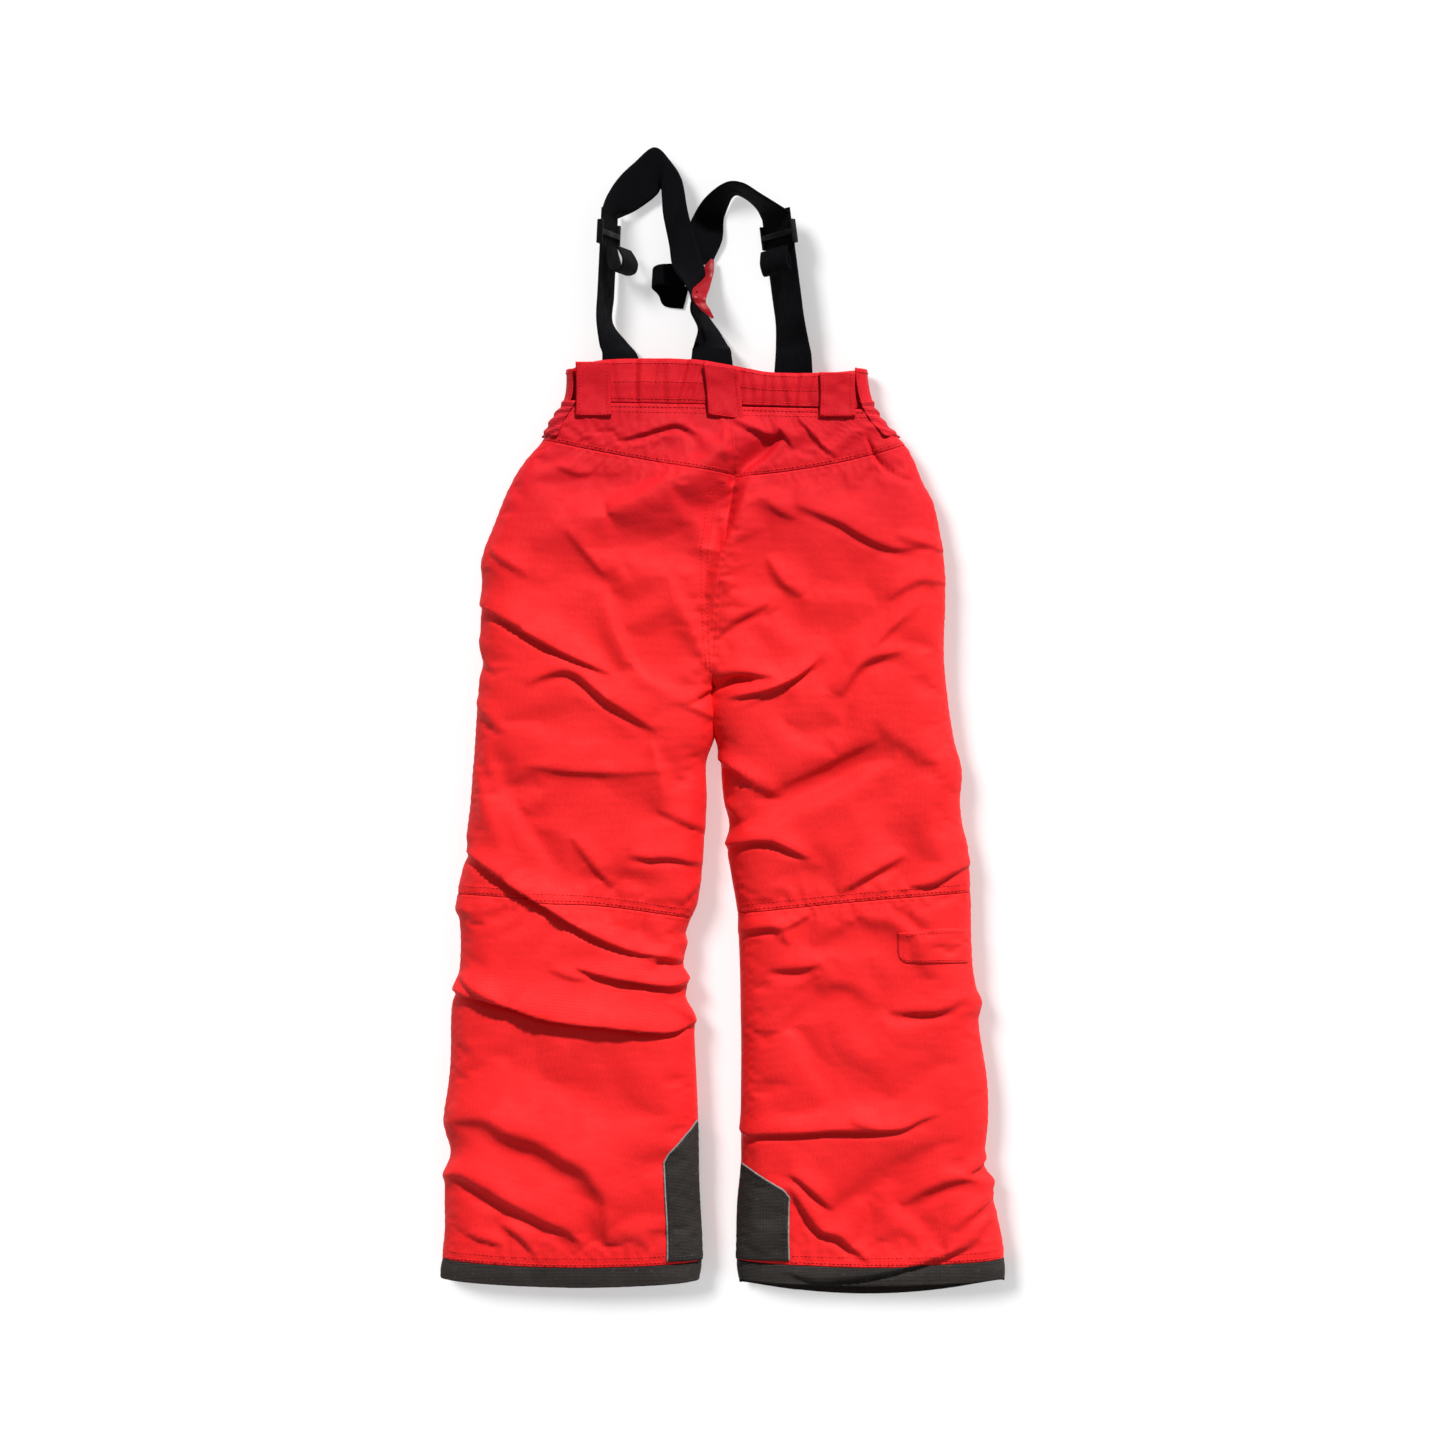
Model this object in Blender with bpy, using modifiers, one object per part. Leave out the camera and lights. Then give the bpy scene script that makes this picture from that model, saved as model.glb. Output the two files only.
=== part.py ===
"""Padded ski pants with elastic suspenders, lying flat with the back up.

Metres, +Z up, the waist and suspenders towards +Y. The garment rests on z = 0, with its front down.
Every panel is an open surface given a thickness, and the webbing straps are thin lofted ribbons.
"""

from math import cos, pi, radians, sin, sqrt

import bmesh
import bpy
from mathutils import Matrix, Vector

# Driving dimensions of the laid-out garment.
GAP = 0.0005  # half the gap left along a sewn seam
SIDE_GAP_BACK = 0.0006  # the side seams lie half a gap above and below their height
SIDE_GAP_FRONT = 0.0013
SHELL = 0.0030  # outer fabric with its wadding
LINING = 0.0010
WEBBING = 0.0018
WEBBING_WIDTH = 0.039
EDGE_HEIGHT = 0.016  # height of the side seams above the ground
CROTCH_Y = 0.032
HEM_BAND = 0.020
EDGE_CROWDING = 1.8  # keeps the first strip beside a side seam nearly upright

# Joint axes: y and z of the lines along X that the legs, the suspenders and the pocket flap fold about.
KNEE_AXIS = (-0.1705, 0.0515)
WAIST_AXIS = (0.3665, 0.0520)
FLAP_AXIS = (-0.2055, 0.0535)
LEG_MIDDLE = {"left": -0.148, "right": 0.131}  # x half way over each knee

# Outlines: x of each seam at y, from the waist down to the hem.
OUTSEAM_LEFT = (
    (0.365, -0.153), (0.325, -0.155), (0.300, -0.170), (0.262, -0.196), (0.215, -0.222), (0.165, -0.240),
    (0.040, -0.244), (-0.040, -0.249), (-0.120, -0.256), (-0.175, -0.264), (-0.240, -0.266),
    (-0.300, -0.273), (-0.420, -0.278), (-0.500, -0.280), (-0.575, -0.285),
)
OUTSEAM_RIGHT = (
    (0.365, 0.141), (0.325, 0.146), (0.300, 0.159), (0.262, 0.191), (0.215, 0.211), (0.165, 0.220),
    (0.040, 0.225), (-0.040, 0.236), (-0.120, 0.244), (-0.175, 0.248), (-0.240, 0.251),
    (-0.300, 0.259), (-0.420, 0.267), (-0.500, 0.276), (-0.575, 0.285),
)
INSEAM_LEFT = (
    (0.330, 0.000), (0.180, -0.001), (0.060, -0.006), (CROTCH_Y, -0.008), (0.000, -0.012),
    (-0.040, -0.016), (-0.120, -0.019), (-0.180, -0.028), (-0.210, -0.033), (-0.300, -0.030),
    (-0.400, -0.025), (-0.575, -0.021),
)
INSEAM_RIGHT = (
    (0.330, 0.001), (0.180, 0.000), (0.060, -0.005), (CROTCH_Y, -0.007), (0.000, -0.005), (-0.040, 0.000),
    (-0.120, 0.008), (-0.180, 0.013), (-0.210, 0.016), (-0.300, 0.018), (-0.400, 0.018), (-0.575, 0.016),
)
OUTSEAM = {"left": OUTSEAM_LEFT, "right": OUTSEAM_RIGHT}
INSEAM = {"left": INSEAM_LEFT, "right": INSEAM_RIGHT}

# Cross seams: y at the outseam, half way over, and at the inseam or the centre seam.
WAIST_SEAM = {"left": (0.3190, 0.3180, 0.3165), "right": (0.3120, 0.3135, 0.3150)}
YOKE_SEAM = {"left": (0.2820, 0.2640, 0.2430), "right": (0.2770, 0.2600, 0.2430)}
KNEE_SEAM = {"left": (-0.1715, -0.1800, -0.1900), "right": (-0.1715, -0.1810, -0.1930)}
HEM_BACK = {"left": (-0.5550, -0.5620, -0.5580), "right": (-0.5520, -0.5600, -0.5500)}
HEM_FRONT = {"left": (-0.5550, -0.5620, -0.5580), "right": (-0.5640, -0.5770, -0.5620)}
GUARD_TOP = {"left": (-0.4330, -0.4160, -0.3980), "right": (-0.4660, -0.4540, -0.4410)}
GUARD_WIDTH = {"left": 0.033, "right": 0.050}

# The waistband's upper edge: y at x, from left to right.
WAIST_TOP = (
    (-0.156, 0.3500), (-0.140, 0.3570), (-0.110, 0.3620), (-0.030, 0.3620),
    (0.010, 0.3560), (0.050, 0.3490), (0.110, 0.3490), (0.142, 0.3520),
)

# Height of the back over the ground, and how far in the section rounds over, at y.
TOP_HEIGHT = (
    (0.365, 0.0340), (0.300, 0.0370), (0.200, 0.0450), (0.050, 0.0500), (-0.220, 0.0500), (-0.450, 0.0460),
    (-0.580, 0.0400),
)
EDGE_ROUND = ((0.365, 0.0200), (0.300, 0.0240), (0.180, 0.0450), (-0.580, 0.0450))

# Belt loops: centre x, slant of the loop in x from its top to its foot, and y of its foot.
LOOP_WIDTH = 0.036
LOOP_STAND_OFF = 0.0052
FRONT_LOOP_STAND_OFF = 0.0046
BACK_LOOPS = {
    "belt_loop_back_left": (-0.128, 0.000, 0.305),
    "belt_loop_back_centre": (-0.004, 0.010, 0.304),
    "belt_loop_back_right": (0.115, 0.000, 0.304),
}
FRONT_LOOPS = {"belt_loop_front_left": -0.085, "belt_loop_front_right": 0.078}
WAIST_RELIEF = 0.0068  # room for the belt loops and the fly under the front of the waist

# Fly and hand pockets, on the front.
FLY_TOP = 0.300
FLY_BOTTOM = 0.165
FLY_HALF_WIDTH = 0.024
POCKET_RELIEF = 0.0062
POCKET_ZIPS = {"left": ((-0.118, 0.288), (-0.172, 0.188)), "right": ((0.110, 0.285), (0.158, 0.184))}
SLIDER_FROM_END = 0.0100  # a closed slider's distance from the upper end of its zip

# Side tabs round the waist: the angle of the hinged end round the side, and the gap under the tab.
TAB_HINGE_ANGLE = 62.0
TAB_SWEEP = 118.0
TAB_STAND_OFF = 0.0030

# Straight stretches of the front straps that the adjusters slide along: upper end, lower end, roll.
STRAP_RUNS = {
    "left": (Vector((-0.1125, 0.5060)), Vector((-0.1175, 0.4020)), -68.0),
    "right": (Vector((0.0545, 0.5060)), Vector((0.0680, 0.4020)), 45.0),
}
RUN_CLEARANCE = 0.0052  # height of the lower edge of a run, so that its adjuster clears the ground
ADJUSTER_FROM_TOP = 0.018
ADJUSTER_LENGTH = 0.024
ADJUSTER_WIDTH = 0.0455
BIGHT_REACH = {"left": 0.0230, "right": 0.0110}


def clear_scene():
    for obj in list(bpy.data.objects):
        bpy.data.objects.remove(obj, do_unlink=True)


def new_collection(name, hidden=False):
    made = bpy.data.collections.new(name)
    bpy.context.scene.collection.children.link(made)
    made.hide_render = hidden
    return made


def material(name, colour, roughness, metallic=0.0):
    made = bpy.data.materials.new(name)
    made.use_nodes = True
    shader = made.node_tree.nodes["Principled BSDF"]
    shader.inputs["Base Color"].default_value = (*colour, 1.0)
    shader.inputs["Roughness"].default_value = roughness
    shader.inputs["Metallic"].default_value = metallic
    made.diffuse_color = (*colour, 1.0)
    return made


# ---------------------------------------------------------------- curves and sections


def smoothstep(low, high, value):
    t = min(max((value - low) / (high - low), 0.0), 1.0)
    return t * t * (3.0 - 2.0 * t)


def quarter_round(share):
    """Height of a quarter circle, 0 at its edge and 1 once it has levelled out."""
    return sqrt(max(0.0, 1.0 - (1.0 - min(max(share, 0.0), 1.0)) ** 2))


def value_at(outline, key):
    """The outline's second value where its first is key, on a smooth curve through its points."""
    points = sorted(outline)
    key = min(max(key, points[0][0]), points[-1][0])
    slopes = []
    for i in range(len(points)):
        before = points[max(i - 1, 0)]
        after = points[min(i + 1, len(points) - 1)]
        slopes.append((after[1] - before[1]) / (after[0] - before[0]))
    i = max(n for n in range(len(points) - 1) if points[n][0] <= key)
    span = points[i + 1][0] - points[i][0]
    t = (key - points[i][0]) / span
    return (
        (2 * t**3 - 3 * t**2 + 1) * points[i][1]
        + (t**3 - 2 * t**2 + t) * span * slopes[i]
        + (3 * t**2 - 2 * t**3) * points[i + 1][1]
        + (t**3 - t**2) * span * slopes[i + 1]
    )


def bowed(seam, share):
    """y of a cross seam at a share of the way over, on the parabola through its three values."""
    outer, middle, inner = seam
    return (
        outer * (1 - share) * (1 - 2 * share)
        + 4 * middle * share * (1 - share)
        + inner * share * (2 * share - 1)
    )


def spline(points, t):
    """The point at 0 <= t <= 1 on the Catmull-Rom curve through the points."""
    last = len(points) - 1
    i = min(int(t * last), last - 1)
    f = t * last - i
    a, b, c, d = (Vector(points[min(max(i + k, 0), last)]) for k in (-1, 0, 1, 2))
    linear = (c - a) * f
    square = (2 * a - 5 * b + 4 * c - d) * f * f
    cube = (3 * b - a - 3 * c + d) * f**3
    return 0.5 * (2 * b + linear + square + cube)


def distance_to_line(x, y, line):
    """Distance in plan from a point to a straight line of two points."""
    start, end = Vector(line[0]), Vector(line[1])
    along = end - start
    share = min(max((Vector((x, y)) - start).dot(along) / along.length_squared, 0.0), 1.0)
    return (start + along * share - Vector((x, y))).length


def relief(x, y):
    """How far the front stands off the ground, to leave room for what is sewn on it."""
    waist = WAIST_RELIEF * smoothstep(0.262, 0.288, y)
    beside_fly = 1.0 - smoothstep(FLY_HALF_WIDTH + 0.012, FLY_HALF_WIDTH + 0.055, abs(x))
    fly = WAIST_RELIEF * beside_fly * smoothstep(FLY_BOTTOM - 0.080, FLY_BOTTOM - 0.030, y)
    pockets = 0.0
    for line in POCKET_ZIPS.values():
        near = 1.0 - smoothstep(0.036, 0.078, distance_to_line(x, y, line))
        pockets = max(pockets, POCKET_RELIEF * near)
    return max(waist, fly, pockets)


def guard_relief(side, y, from_inseam):
    """Room under the front of the leg for the scuff guard."""
    down = smoothstep(-0.370, -0.390, y)
    across = 1.0 - smoothstep(GUARD_WIDTH[side] + 0.003, GUARD_WIDTH[side] + 0.022, from_inseam)
    return 0.0019 * down * across


def section_share(y, from_outer, from_inner):
    """0 at a side seam and 1 on the level part of the section. Above the crotch the middle stays level."""
    rounding = value_at(EDGE_ROUND, y)
    outer = quarter_round(from_outer / rounding)
    inner = quarter_round(from_inner / rounding)
    leg = 1.0 - smoothstep(CROTCH_Y, 0.130, y)
    return outer * (1.0 + leg * (inner - 1.0))


def leg_point(side, layer, share, y, drop=0.0, inset=0.0):
    """A point of a leg or seat section, drop deeper inside and inset from its side seams."""
    outer = value_at(OUTSEAM[side], y)
    inner = value_at(INSEAM[side], y)
    inward = 1.0 if side == "left" else -1.0
    outer += inward * inset
    inner -= inward * (inset + GAP)
    x = outer + (inner - outer) * share
    level = section_share(y, abs(x - outer), abs(inner - x))
    if layer == "back":
        lowest = EDGE_HEIGHT + SIDE_GAP_BACK
        height = value_at(TOP_HEIGHT, y) - drop
        return Vector((x, y, lowest + (height - lowest) * level))
    floor = max(relief(x, y), guard_relief(side, y, abs(inner - x))) + drop
    return Vector((x, y, (EDGE_HEIGHT - SIDE_GAP_FRONT) * (1.0 - level) + floor * level))


def spread(step, steps, width, rounding):
    """Share of the way over for one grid column, closer together where the section rounds over."""
    edge = min(rounding / width, 0.45)
    turn = 3
    if step <= turn:
        return edge * (1 - cos(pi / 2 * (step / turn) ** EDGE_CROWDING))
    if step >= steps - turn:
        return 1 - edge * (1 - cos(pi / 2 * ((steps - step) / turn) ** EDGE_CROWDING))
    return edge + (1 - 2 * edge) * (step - turn) / (steps - 2 * turn)


def back_height(x, y):
    """Height of the seat's upper surface near the waist."""
    rounding = value_at(EDGE_ROUND, y)
    left = quarter_round((x - value_at(OUTSEAM_LEFT, y)) / rounding)
    right = quarter_round((value_at(OUTSEAM_RIGHT, y) - x) / rounding)
    return EDGE_HEIGHT + (value_at(TOP_HEIGHT, y) - EDGE_HEIGHT) * left * right


# ---------------------------------------------------------------- objects from surfaces


def add_object(name, mesh, look, place=None):
    obj = bpy.data.objects.new(name, mesh)
    obj.data.materials.append(look)
    if place is not None:
        obj.matrix_world = place
    GARMENT.objects.link(obj)
    return obj


def grid_mesh(name, columns, rows, point, outward=None, ring=False):
    """A grid laid on the surface point(u, v), with its faces turned towards outward."""
    bm = bmesh.new()
    bmesh.ops.create_grid(bm, x_segments=columns, y_segments=rows, size=0.5)
    for vertex in bm.verts:
        column = round((vertex.co.x + 0.5) * columns)
        row = round((vertex.co.y + 0.5) * rows)
        vertex.co = point(column, row)
    if ring:
        bmesh.ops.remove_doubles(bm, verts=bm.verts, dist=1e-6)
        middle = sum((v.co for v in bm.verts), Vector()) / len(bm.verts)
        facing = sum(f.normal.dot(f.calc_center_median() - middle) for f in updated(bm).faces)
    else:
        facing = sum(f.normal.dot(Vector(outward)) * f.calc_area() for f in updated(bm).faces)
    if facing < 0:
        bmesh.ops.reverse_faces(bm, faces=bm.faces)
    mesh = bpy.data.meshes.new(name)
    bm.to_mesh(mesh)
    bm.free()
    return mesh


def updated(bm):
    bm.normal_update()
    return bm


def sheet(name, columns, rows, point, thickness, look, outward=None, ring=False, offset=-1.0):
    """A surface with a thickness, laid on the inner side of its outward face."""
    mesh = grid_mesh(name, columns, rows, point, outward, ring)
    obj = add_object(name, mesh, look)
    solid = obj.modifiers.new("thickness", "SOLIDIFY")
    solid.thickness = thickness
    solid.offset = offset
    mesh.shade_smooth()
    mesh.set_sharp_from_angle(angle=radians(40))
    return obj


def panel(name, side, layer, upper, lower, look, columns=10, rows=8, thickness=SHELL, drop=0.0, inset=0.0):
    """A panel of one leg between two cross seams."""

    def point(column, row):
        middle_y = (upper[1] + lower[1]) / 2
        width = abs(value_at(OUTSEAM[side], middle_y) - value_at(INSEAM[side], middle_y))
        share = spread(column, columns, width, value_at(EDGE_ROUND, middle_y))
        start = bowed(upper, share) - GAP
        end = bowed(lower, share) + GAP
        return leg_point(side, layer, share, start + (end - start) * row / rows, drop, inset)

    outward = (0, 0, 1) if layer == "back" else (0, 0, -1)
    return sheet(name, columns, rows, point, thickness, look, outward)


def shifted(seam, distance):
    return tuple(y + distance for y in seam)


def ribbon(name, sections, look, steps, thickness=WEBBING):
    """Webbing lofted through sections, each given as the points of its two edges."""
    first = [a for a, _ in sections]
    second = [b for _, b in sections]

    def point(column, row):
        t = row / steps
        return spline(first, t).lerp(spline(second, t), column / 2)

    return sheet(name, 2, steps, point, thickness, look, (0, 0, 1), offset=0.0)


def rolled_section(centre, direction, roll, lowest=0.0012):
    """Two edge points of flat webbing at centre in plan, turned by roll degrees about its length."""
    across = Vector((direction.y, -direction.x)).normalized()
    half = WEBBING_WIDTH / 2
    side = across * half * cos(radians(roll))
    rise = half * sin(radians(roll))
    height = abs(rise) + lowest
    a = Vector((centre.x - side.x, centre.y - side.y, height + rise))
    b = Vector((centre.x + side.x, centre.y + side.y, height - rise))
    return a, b


def box_mesh(name, size, bevel=0.0):
    bm = bmesh.new()
    bmesh.ops.create_cube(bm, size=1.0)
    bmesh.ops.scale(bm, vec=size, verts=bm.verts)
    if bevel:
        bmesh.ops.bevel(bm, geom=bm.edges, offset=bevel, segments=1, affect="EDGES")
    mesh = bpy.data.meshes.new(name)
    bm.to_mesh(mesh)
    bm.free()
    return mesh


def box(name, size, place, look, bevel=0.0):
    return add_object(name, box_mesh(name, size, bevel), look, place)


def combine(obj, size, place, operation="DIFFERENCE"):
    """Cuts a box out of an object, or joins it on with UNION. The box follows the object."""
    helper = bpy.data.objects.new(f"cutter_{obj.name}_{len(obj.modifiers)}", box_mesh("cutter", size))
    helper.parent = obj
    helper.matrix_parent_inverse = obj.matrix_world.inverted()
    helper.matrix_basis = place
    helper.display_type = "WIRE"
    helper.hide_render = True
    CUTTERS.objects.link(helper)
    boolean = obj.modifiers.new("combine", "BOOLEAN")
    boolean.operation = operation
    boolean.solver = "EXACT"
    boolean.object = helper


# ---------------------------------------------------------------- seat and legs


def make_upper_panels(shell):
    for side in ("left", "right"):
        panel(f"back_yoke_{side}", side, "back", WAIST_SEAM[side], YOKE_SEAM[side], shell, rows=2)
        panel(f"back_panel_{side}", side, "back", YOKE_SEAM[side], KNEE_SEAM[side], shell, rows=12)
        panel(f"front_panel_{side}", side, "front", WAIST_SEAM[side], KNEE_SEAM[side], shell, rows=14)


def make_seat_lining(lining):
    """Two halves of lining that hang free inside the seat, front and back."""
    upper_y, lower_y = 0.3080, 0.1350
    columns, rows = 12, 5
    for layer in ("back", "front"):

        def point(column, row, layer=layer):
            y = upper_y + (lower_y - upper_y) * row / rows
            left = value_at(OUTSEAM_LEFT, y) + 0.016
            right = value_at(OUTSEAM_RIGHT, y) - 0.016
            x = left + (right - left) * column / columns
            near = min(x - left, right - x)
            level = quarter_round((near + 0.012) / value_at(EDGE_ROUND, y))
            if layer == "back":
                height = value_at(TOP_HEIGHT, y) - SHELL - 0.0038
                return Vector((x, y, EDGE_HEIGHT + 0.001 + (height - EDGE_HEIGHT) * level))
            floor = WAIST_RELIEF + SHELL + 0.0012
            return Vector((x, y, (EDGE_HEIGHT - 0.001) * (1 - level) + floor * level))

        outward = (0, 0, 1) if layer == "back" else (0, 0, -1)
        sheet(f"seat_lining_{layer}", columns, rows, point, LINING, lining, outward)


def make_lower_legs(shell):
    for side in ("left", "right"):
        back_hem = shifted(HEM_BACK[side], HEM_BAND)
        front_hem = shifted(HEM_FRONT[side], HEM_BAND)
        panel(f"lower_back_leg_{side}", side, "back", KNEE_SEAM[side], back_hem, shell, rows=8)
        panel(f"lower_front_leg_{side}", side, "front", KNEE_SEAM[side], front_hem, shell, rows=8)


def make_hem_bands(guard_cloth):
    for side in ("left", "right"):
        for layer, hem in (("back", HEM_BACK[side]), ("front", HEM_FRONT[side])):
            panel(f"hem_band_{layer}_{side}", side, layer, shifted(hem, HEM_BAND), hem, guard_cloth, rows=1)


def make_scuff_guards(guard_cloth):
    """Tough patches over the inner ankles, one on each face of the leg."""
    rows, columns = 5, 4
    cover = 0.0012
    for side in ("left", "right"):
        inward = 1.0 if side == "left" else -1.0
        for layer, hem in (("back", HEM_BACK[side]), ("front", HEM_FRONT[side])):

            def point(column, row, layer=layer, hem=hem, side=side, inward=inward):
                share = 0.13 + 0.87 * column / columns
                from_inseam = GUARD_WIDTH[side] * share
                top = GUARD_TOP[side][0] * share + GUARD_TOP[side][2] * (1 - share)
                bottom = bowed(hem, 1.0) + HEM_BAND + 0.002
                y = top + (bottom - top) * row / rows
                inner = value_at(INSEAM[side], y) - inward * GAP
                outer = value_at(OUTSEAM[side], y)
                x = inner - inward * from_inseam
                found = leg_point(side, layer, (x - outer) / (inner - outer), y)
                lift = cover + 0.0004 + 0.0014 * (1 - column / columns)
                found.z += lift if layer == "back" else -lift
                return found

            outward = (0, 0, 1) if layer == "back" else (0, 0, -1)
            name = f"scuff_guard_{layer}_{side}"
            sheet(name, columns, rows, point, cover, guard_cloth, outward)


def sleeve_point(side, turn, y, inset_x, inset_z):
    """A point round a flattened tube inside the leg: turn 0 to 1 goes over the top and back underneath."""
    inward = 1.0 if side == "left" else -1.0
    outer = value_at(OUTSEAM[side], y) + inward * inset_x
    inner = value_at(INSEAM[side], y) - inward * inset_x
    middle, half = (outer + inner) / 2, (inner - outer) / 2
    angle = 2 * pi * turn
    squared = 0.62  # flattens the ellipse towards a rounded rectangle
    across = -cos(angle)
    up = sin(angle)
    x = middle + half * (abs(across) ** squared) * (1 if across >= 0 else -1)
    rise = (abs(up) ** squared) * (1 if up >= 0 else -1)
    top = value_at(TOP_HEIGHT, y) - inset_z
    reach = top - EDGE_HEIGHT if rise >= 0 else EDGE_HEIGHT - inset_z
    return Vector((x, y, EDGE_HEIGHT + reach * rise))


def make_leg_tubes(lining, gaiter_cloth):
    """The lining sleeve of each lower leg, and the elastic snow gaiter inside it."""
    around, rows = 20, 4
    lining_top, lining_bottom = -0.2000, -0.5280
    gaiter_top, gaiter_bottom = -0.4000, -0.5200
    for side in ("left", "right"):

        def lining_point(column, row, side=side):
            y = lining_top + (lining_bottom - lining_top) * row / rows
            return sleeve_point(side, (column % around) / around, y, 0.016, 0.0066)

        def gaiter_point(column, row, side=side):
            y = gaiter_top + (gaiter_bottom - gaiter_top) * row / rows
            narrowing = 0.026 * smoothstep(0.2, 1.0, row / rows)
            return sleeve_point(side, (column % around) / around, y, 0.026 + narrowing, 0.0092)

        sheet(f"leg_lining_{side}", around, rows, lining_point, LINING, lining, ring=True)
        sheet(f"snow_gaiter_{side}", around, rows, gaiter_point, LINING, gaiter_cloth, ring=True)


def make_pocket_flap(shell):
    """Stitched flap of the cargo pocket, on the outer side of the right leg just below the knee."""
    left, right = 0.1740, 0.2340
    top, bottom = -0.2065, -0.2400
    corner = 0.010
    columns, rows = 6, 3

    def point(column, row):
        x = left + (right - left) * column / columns
        rounded = corner * (1 - quarter_round(column / 1.5))
        y = top + (bottom + rounded - top) * row / rows
        outer = value_at(OUTSEAM_RIGHT, y)
        inner = value_at(INSEAM_RIGHT, y) + GAP
        found = leg_point("right", "back", (x - outer) / (inner - outer), y)
        return found + Vector((0, 0, 0.0028))

    sheet("leg_pocket_flap", columns, rows, point, 0.0013, shell, (0, 0, 1))


# ---------------------------------------------------------------- waist


def make_waistband(shell):
    """The gathered back band, and the two front bands that meet at the fly."""
    columns, rows = 18, 2

    def back_point(column, row):
        left, right = value_at(OUTSEAM_LEFT, 0.34), value_at(OUTSEAM_RIGHT, 0.34)
        share = spread(column, columns, right - left, 0.020)
        x = left + (right - left) * share
        top = value_at(WAIST_TOP, x)
        bottom = bowed((WAIST_SEAM["left"][0], 0.3165, WAIST_SEAM["right"][0]), share) + GAP
        y = top + (bottom - top) * row / rows
        level = quarter_round((x - left) / 0.020) * quarter_round((right - x) / 0.020)
        rise = value_at(TOP_HEIGHT, y) - EDGE_HEIGHT - SIDE_GAP_BACK
        return Vector((x, y, EDGE_HEIGHT + SIDE_GAP_BACK + rise * level))

    sheet("waistband_back", columns, rows, back_point, SHELL, shell, (0, 0, 1))
    for side in ("left", "right"):

        def front_point(column, row, side=side):
            outer, inner = value_at(OUTSEAM[side], 0.34), 0.0012 * (-1 if side == "left" else 1)
            share = 2 * spread(column, 18, 2 * abs(outer), 0.020)
            x = outer + (inner - outer) * share
            top = 0.3430
            bottom = bowed(WAIST_SEAM[side], share) + GAP
            level = quarter_round(abs(x - outer) / 0.020)
            y = top + (bottom - top) * row / 2
            return Vector((x, y, (EDGE_HEIGHT - SIDE_GAP_FRONT) * (1 - level) + WAIST_RELIEF * level))

        sheet(f"waistband_front_{side}", 9, 2, front_point, SHELL, shell, (0, 0, -1))


def loop_profile(start_y, foot_y, ground, stand_off, up):
    """y and z of a belt loop from its upper foot, over the gap, to its lower foot."""
    near = ground + up * 0.0016
    far = ground + up * (stand_off + 0.0014)
    ease = 0.0045
    return (
        (start_y, near), (start_y - 0.3 * ease, near + 0.75 * (far - near)), (start_y - ease, far),
        (foot_y + ease, far), (foot_y + 0.3 * ease, near + 0.75 * (far - near)), (foot_y, near),
    )


def make_belt_loops(shell):
    for name, (x, slant, foot_y) in BACK_LOOPS.items():
        top_y = value_at(WAIST_TOP, x) - 0.0005
        ground = max(back_height(x, y) for y in (top_y, 0.33, foot_y))
        add_loop(name, x, slant, loop_profile(top_y, foot_y, ground, LOOP_STAND_OFF, 1), shell, (0, 0, 1))
    for name, x in FRONT_LOOPS.items():
        profile = loop_profile(0.3425, 0.3040, WAIST_RELIEF, FRONT_LOOP_STAND_OFF, -1)
        add_loop(name, x, 0.0, profile, shell, (0, 0, -1))


def add_loop(name, x, slant, profile, look, outward):
    length = profile[0][0] - profile[-1][0]

    def point(column, row):
        y, z = profile[row]
        lean = slant * (profile[0][0] - y) / length
        return Vector((x + lean + LOOP_WIDTH * (column / 2 - 0.5), y, z))

    sheet(name, 2, len(profile) - 1, point, 0.0013, look, outward)


def side_point(side, y, angle, stand_off):
    """A point outside the rounded side of the waist: angle 90 is the top, 0 the side, -90 the front."""
    rounding = value_at(EDGE_ROUND, y)
    inward = 1.0 if side == "left" else -1.0
    outer = value_at(OUTSEAM[side], y)
    height = value_at(TOP_HEIGHT, y) - EDGE_HEIGHT if angle > 0 else EDGE_HEIGHT - WAIST_RELIEF
    x = outer + inward * rounding * (1 - cos(angle)) - inward * stand_off * cos(angle)
    return Vector((x, y, EDGE_HEIGHT + (height + stand_off) * sin(angle)))


def make_side_pieces(shell, elastic):
    """A waist tab round each side, and the gathered elastic just below it."""
    for side in ("left", "right"):
        outward = (-1, 0, 0.3) if side == "left" else (1, 0, 0.3)

        def tab_point(column, row, side=side):
            angle = radians(TAB_HINGE_ANGLE - TAB_SWEEP * column / 7)
            y = 0.3530 - 0.034 * row / 2
            if row == 2:
                y -= 0.002
            return side_point(side, y, angle, TAB_STAND_OFF)

        def elastic_point(column, row, side=side):
            angle = radians(44 - 64 * column / 6)
            y = 0.3145 - 0.022 * row / 2
            return side_point(side, y, angle, 0.0042)

        sheet(f"side_tab_{side}", 7, 2, tab_point, 0.0014, shell, outward)
        sheet(f"side_elastic_{side}", 6, 2, elastic_point, 0.0014, elastic, outward)


# ---------------------------------------------------------------- fly, pockets and zips


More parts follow.
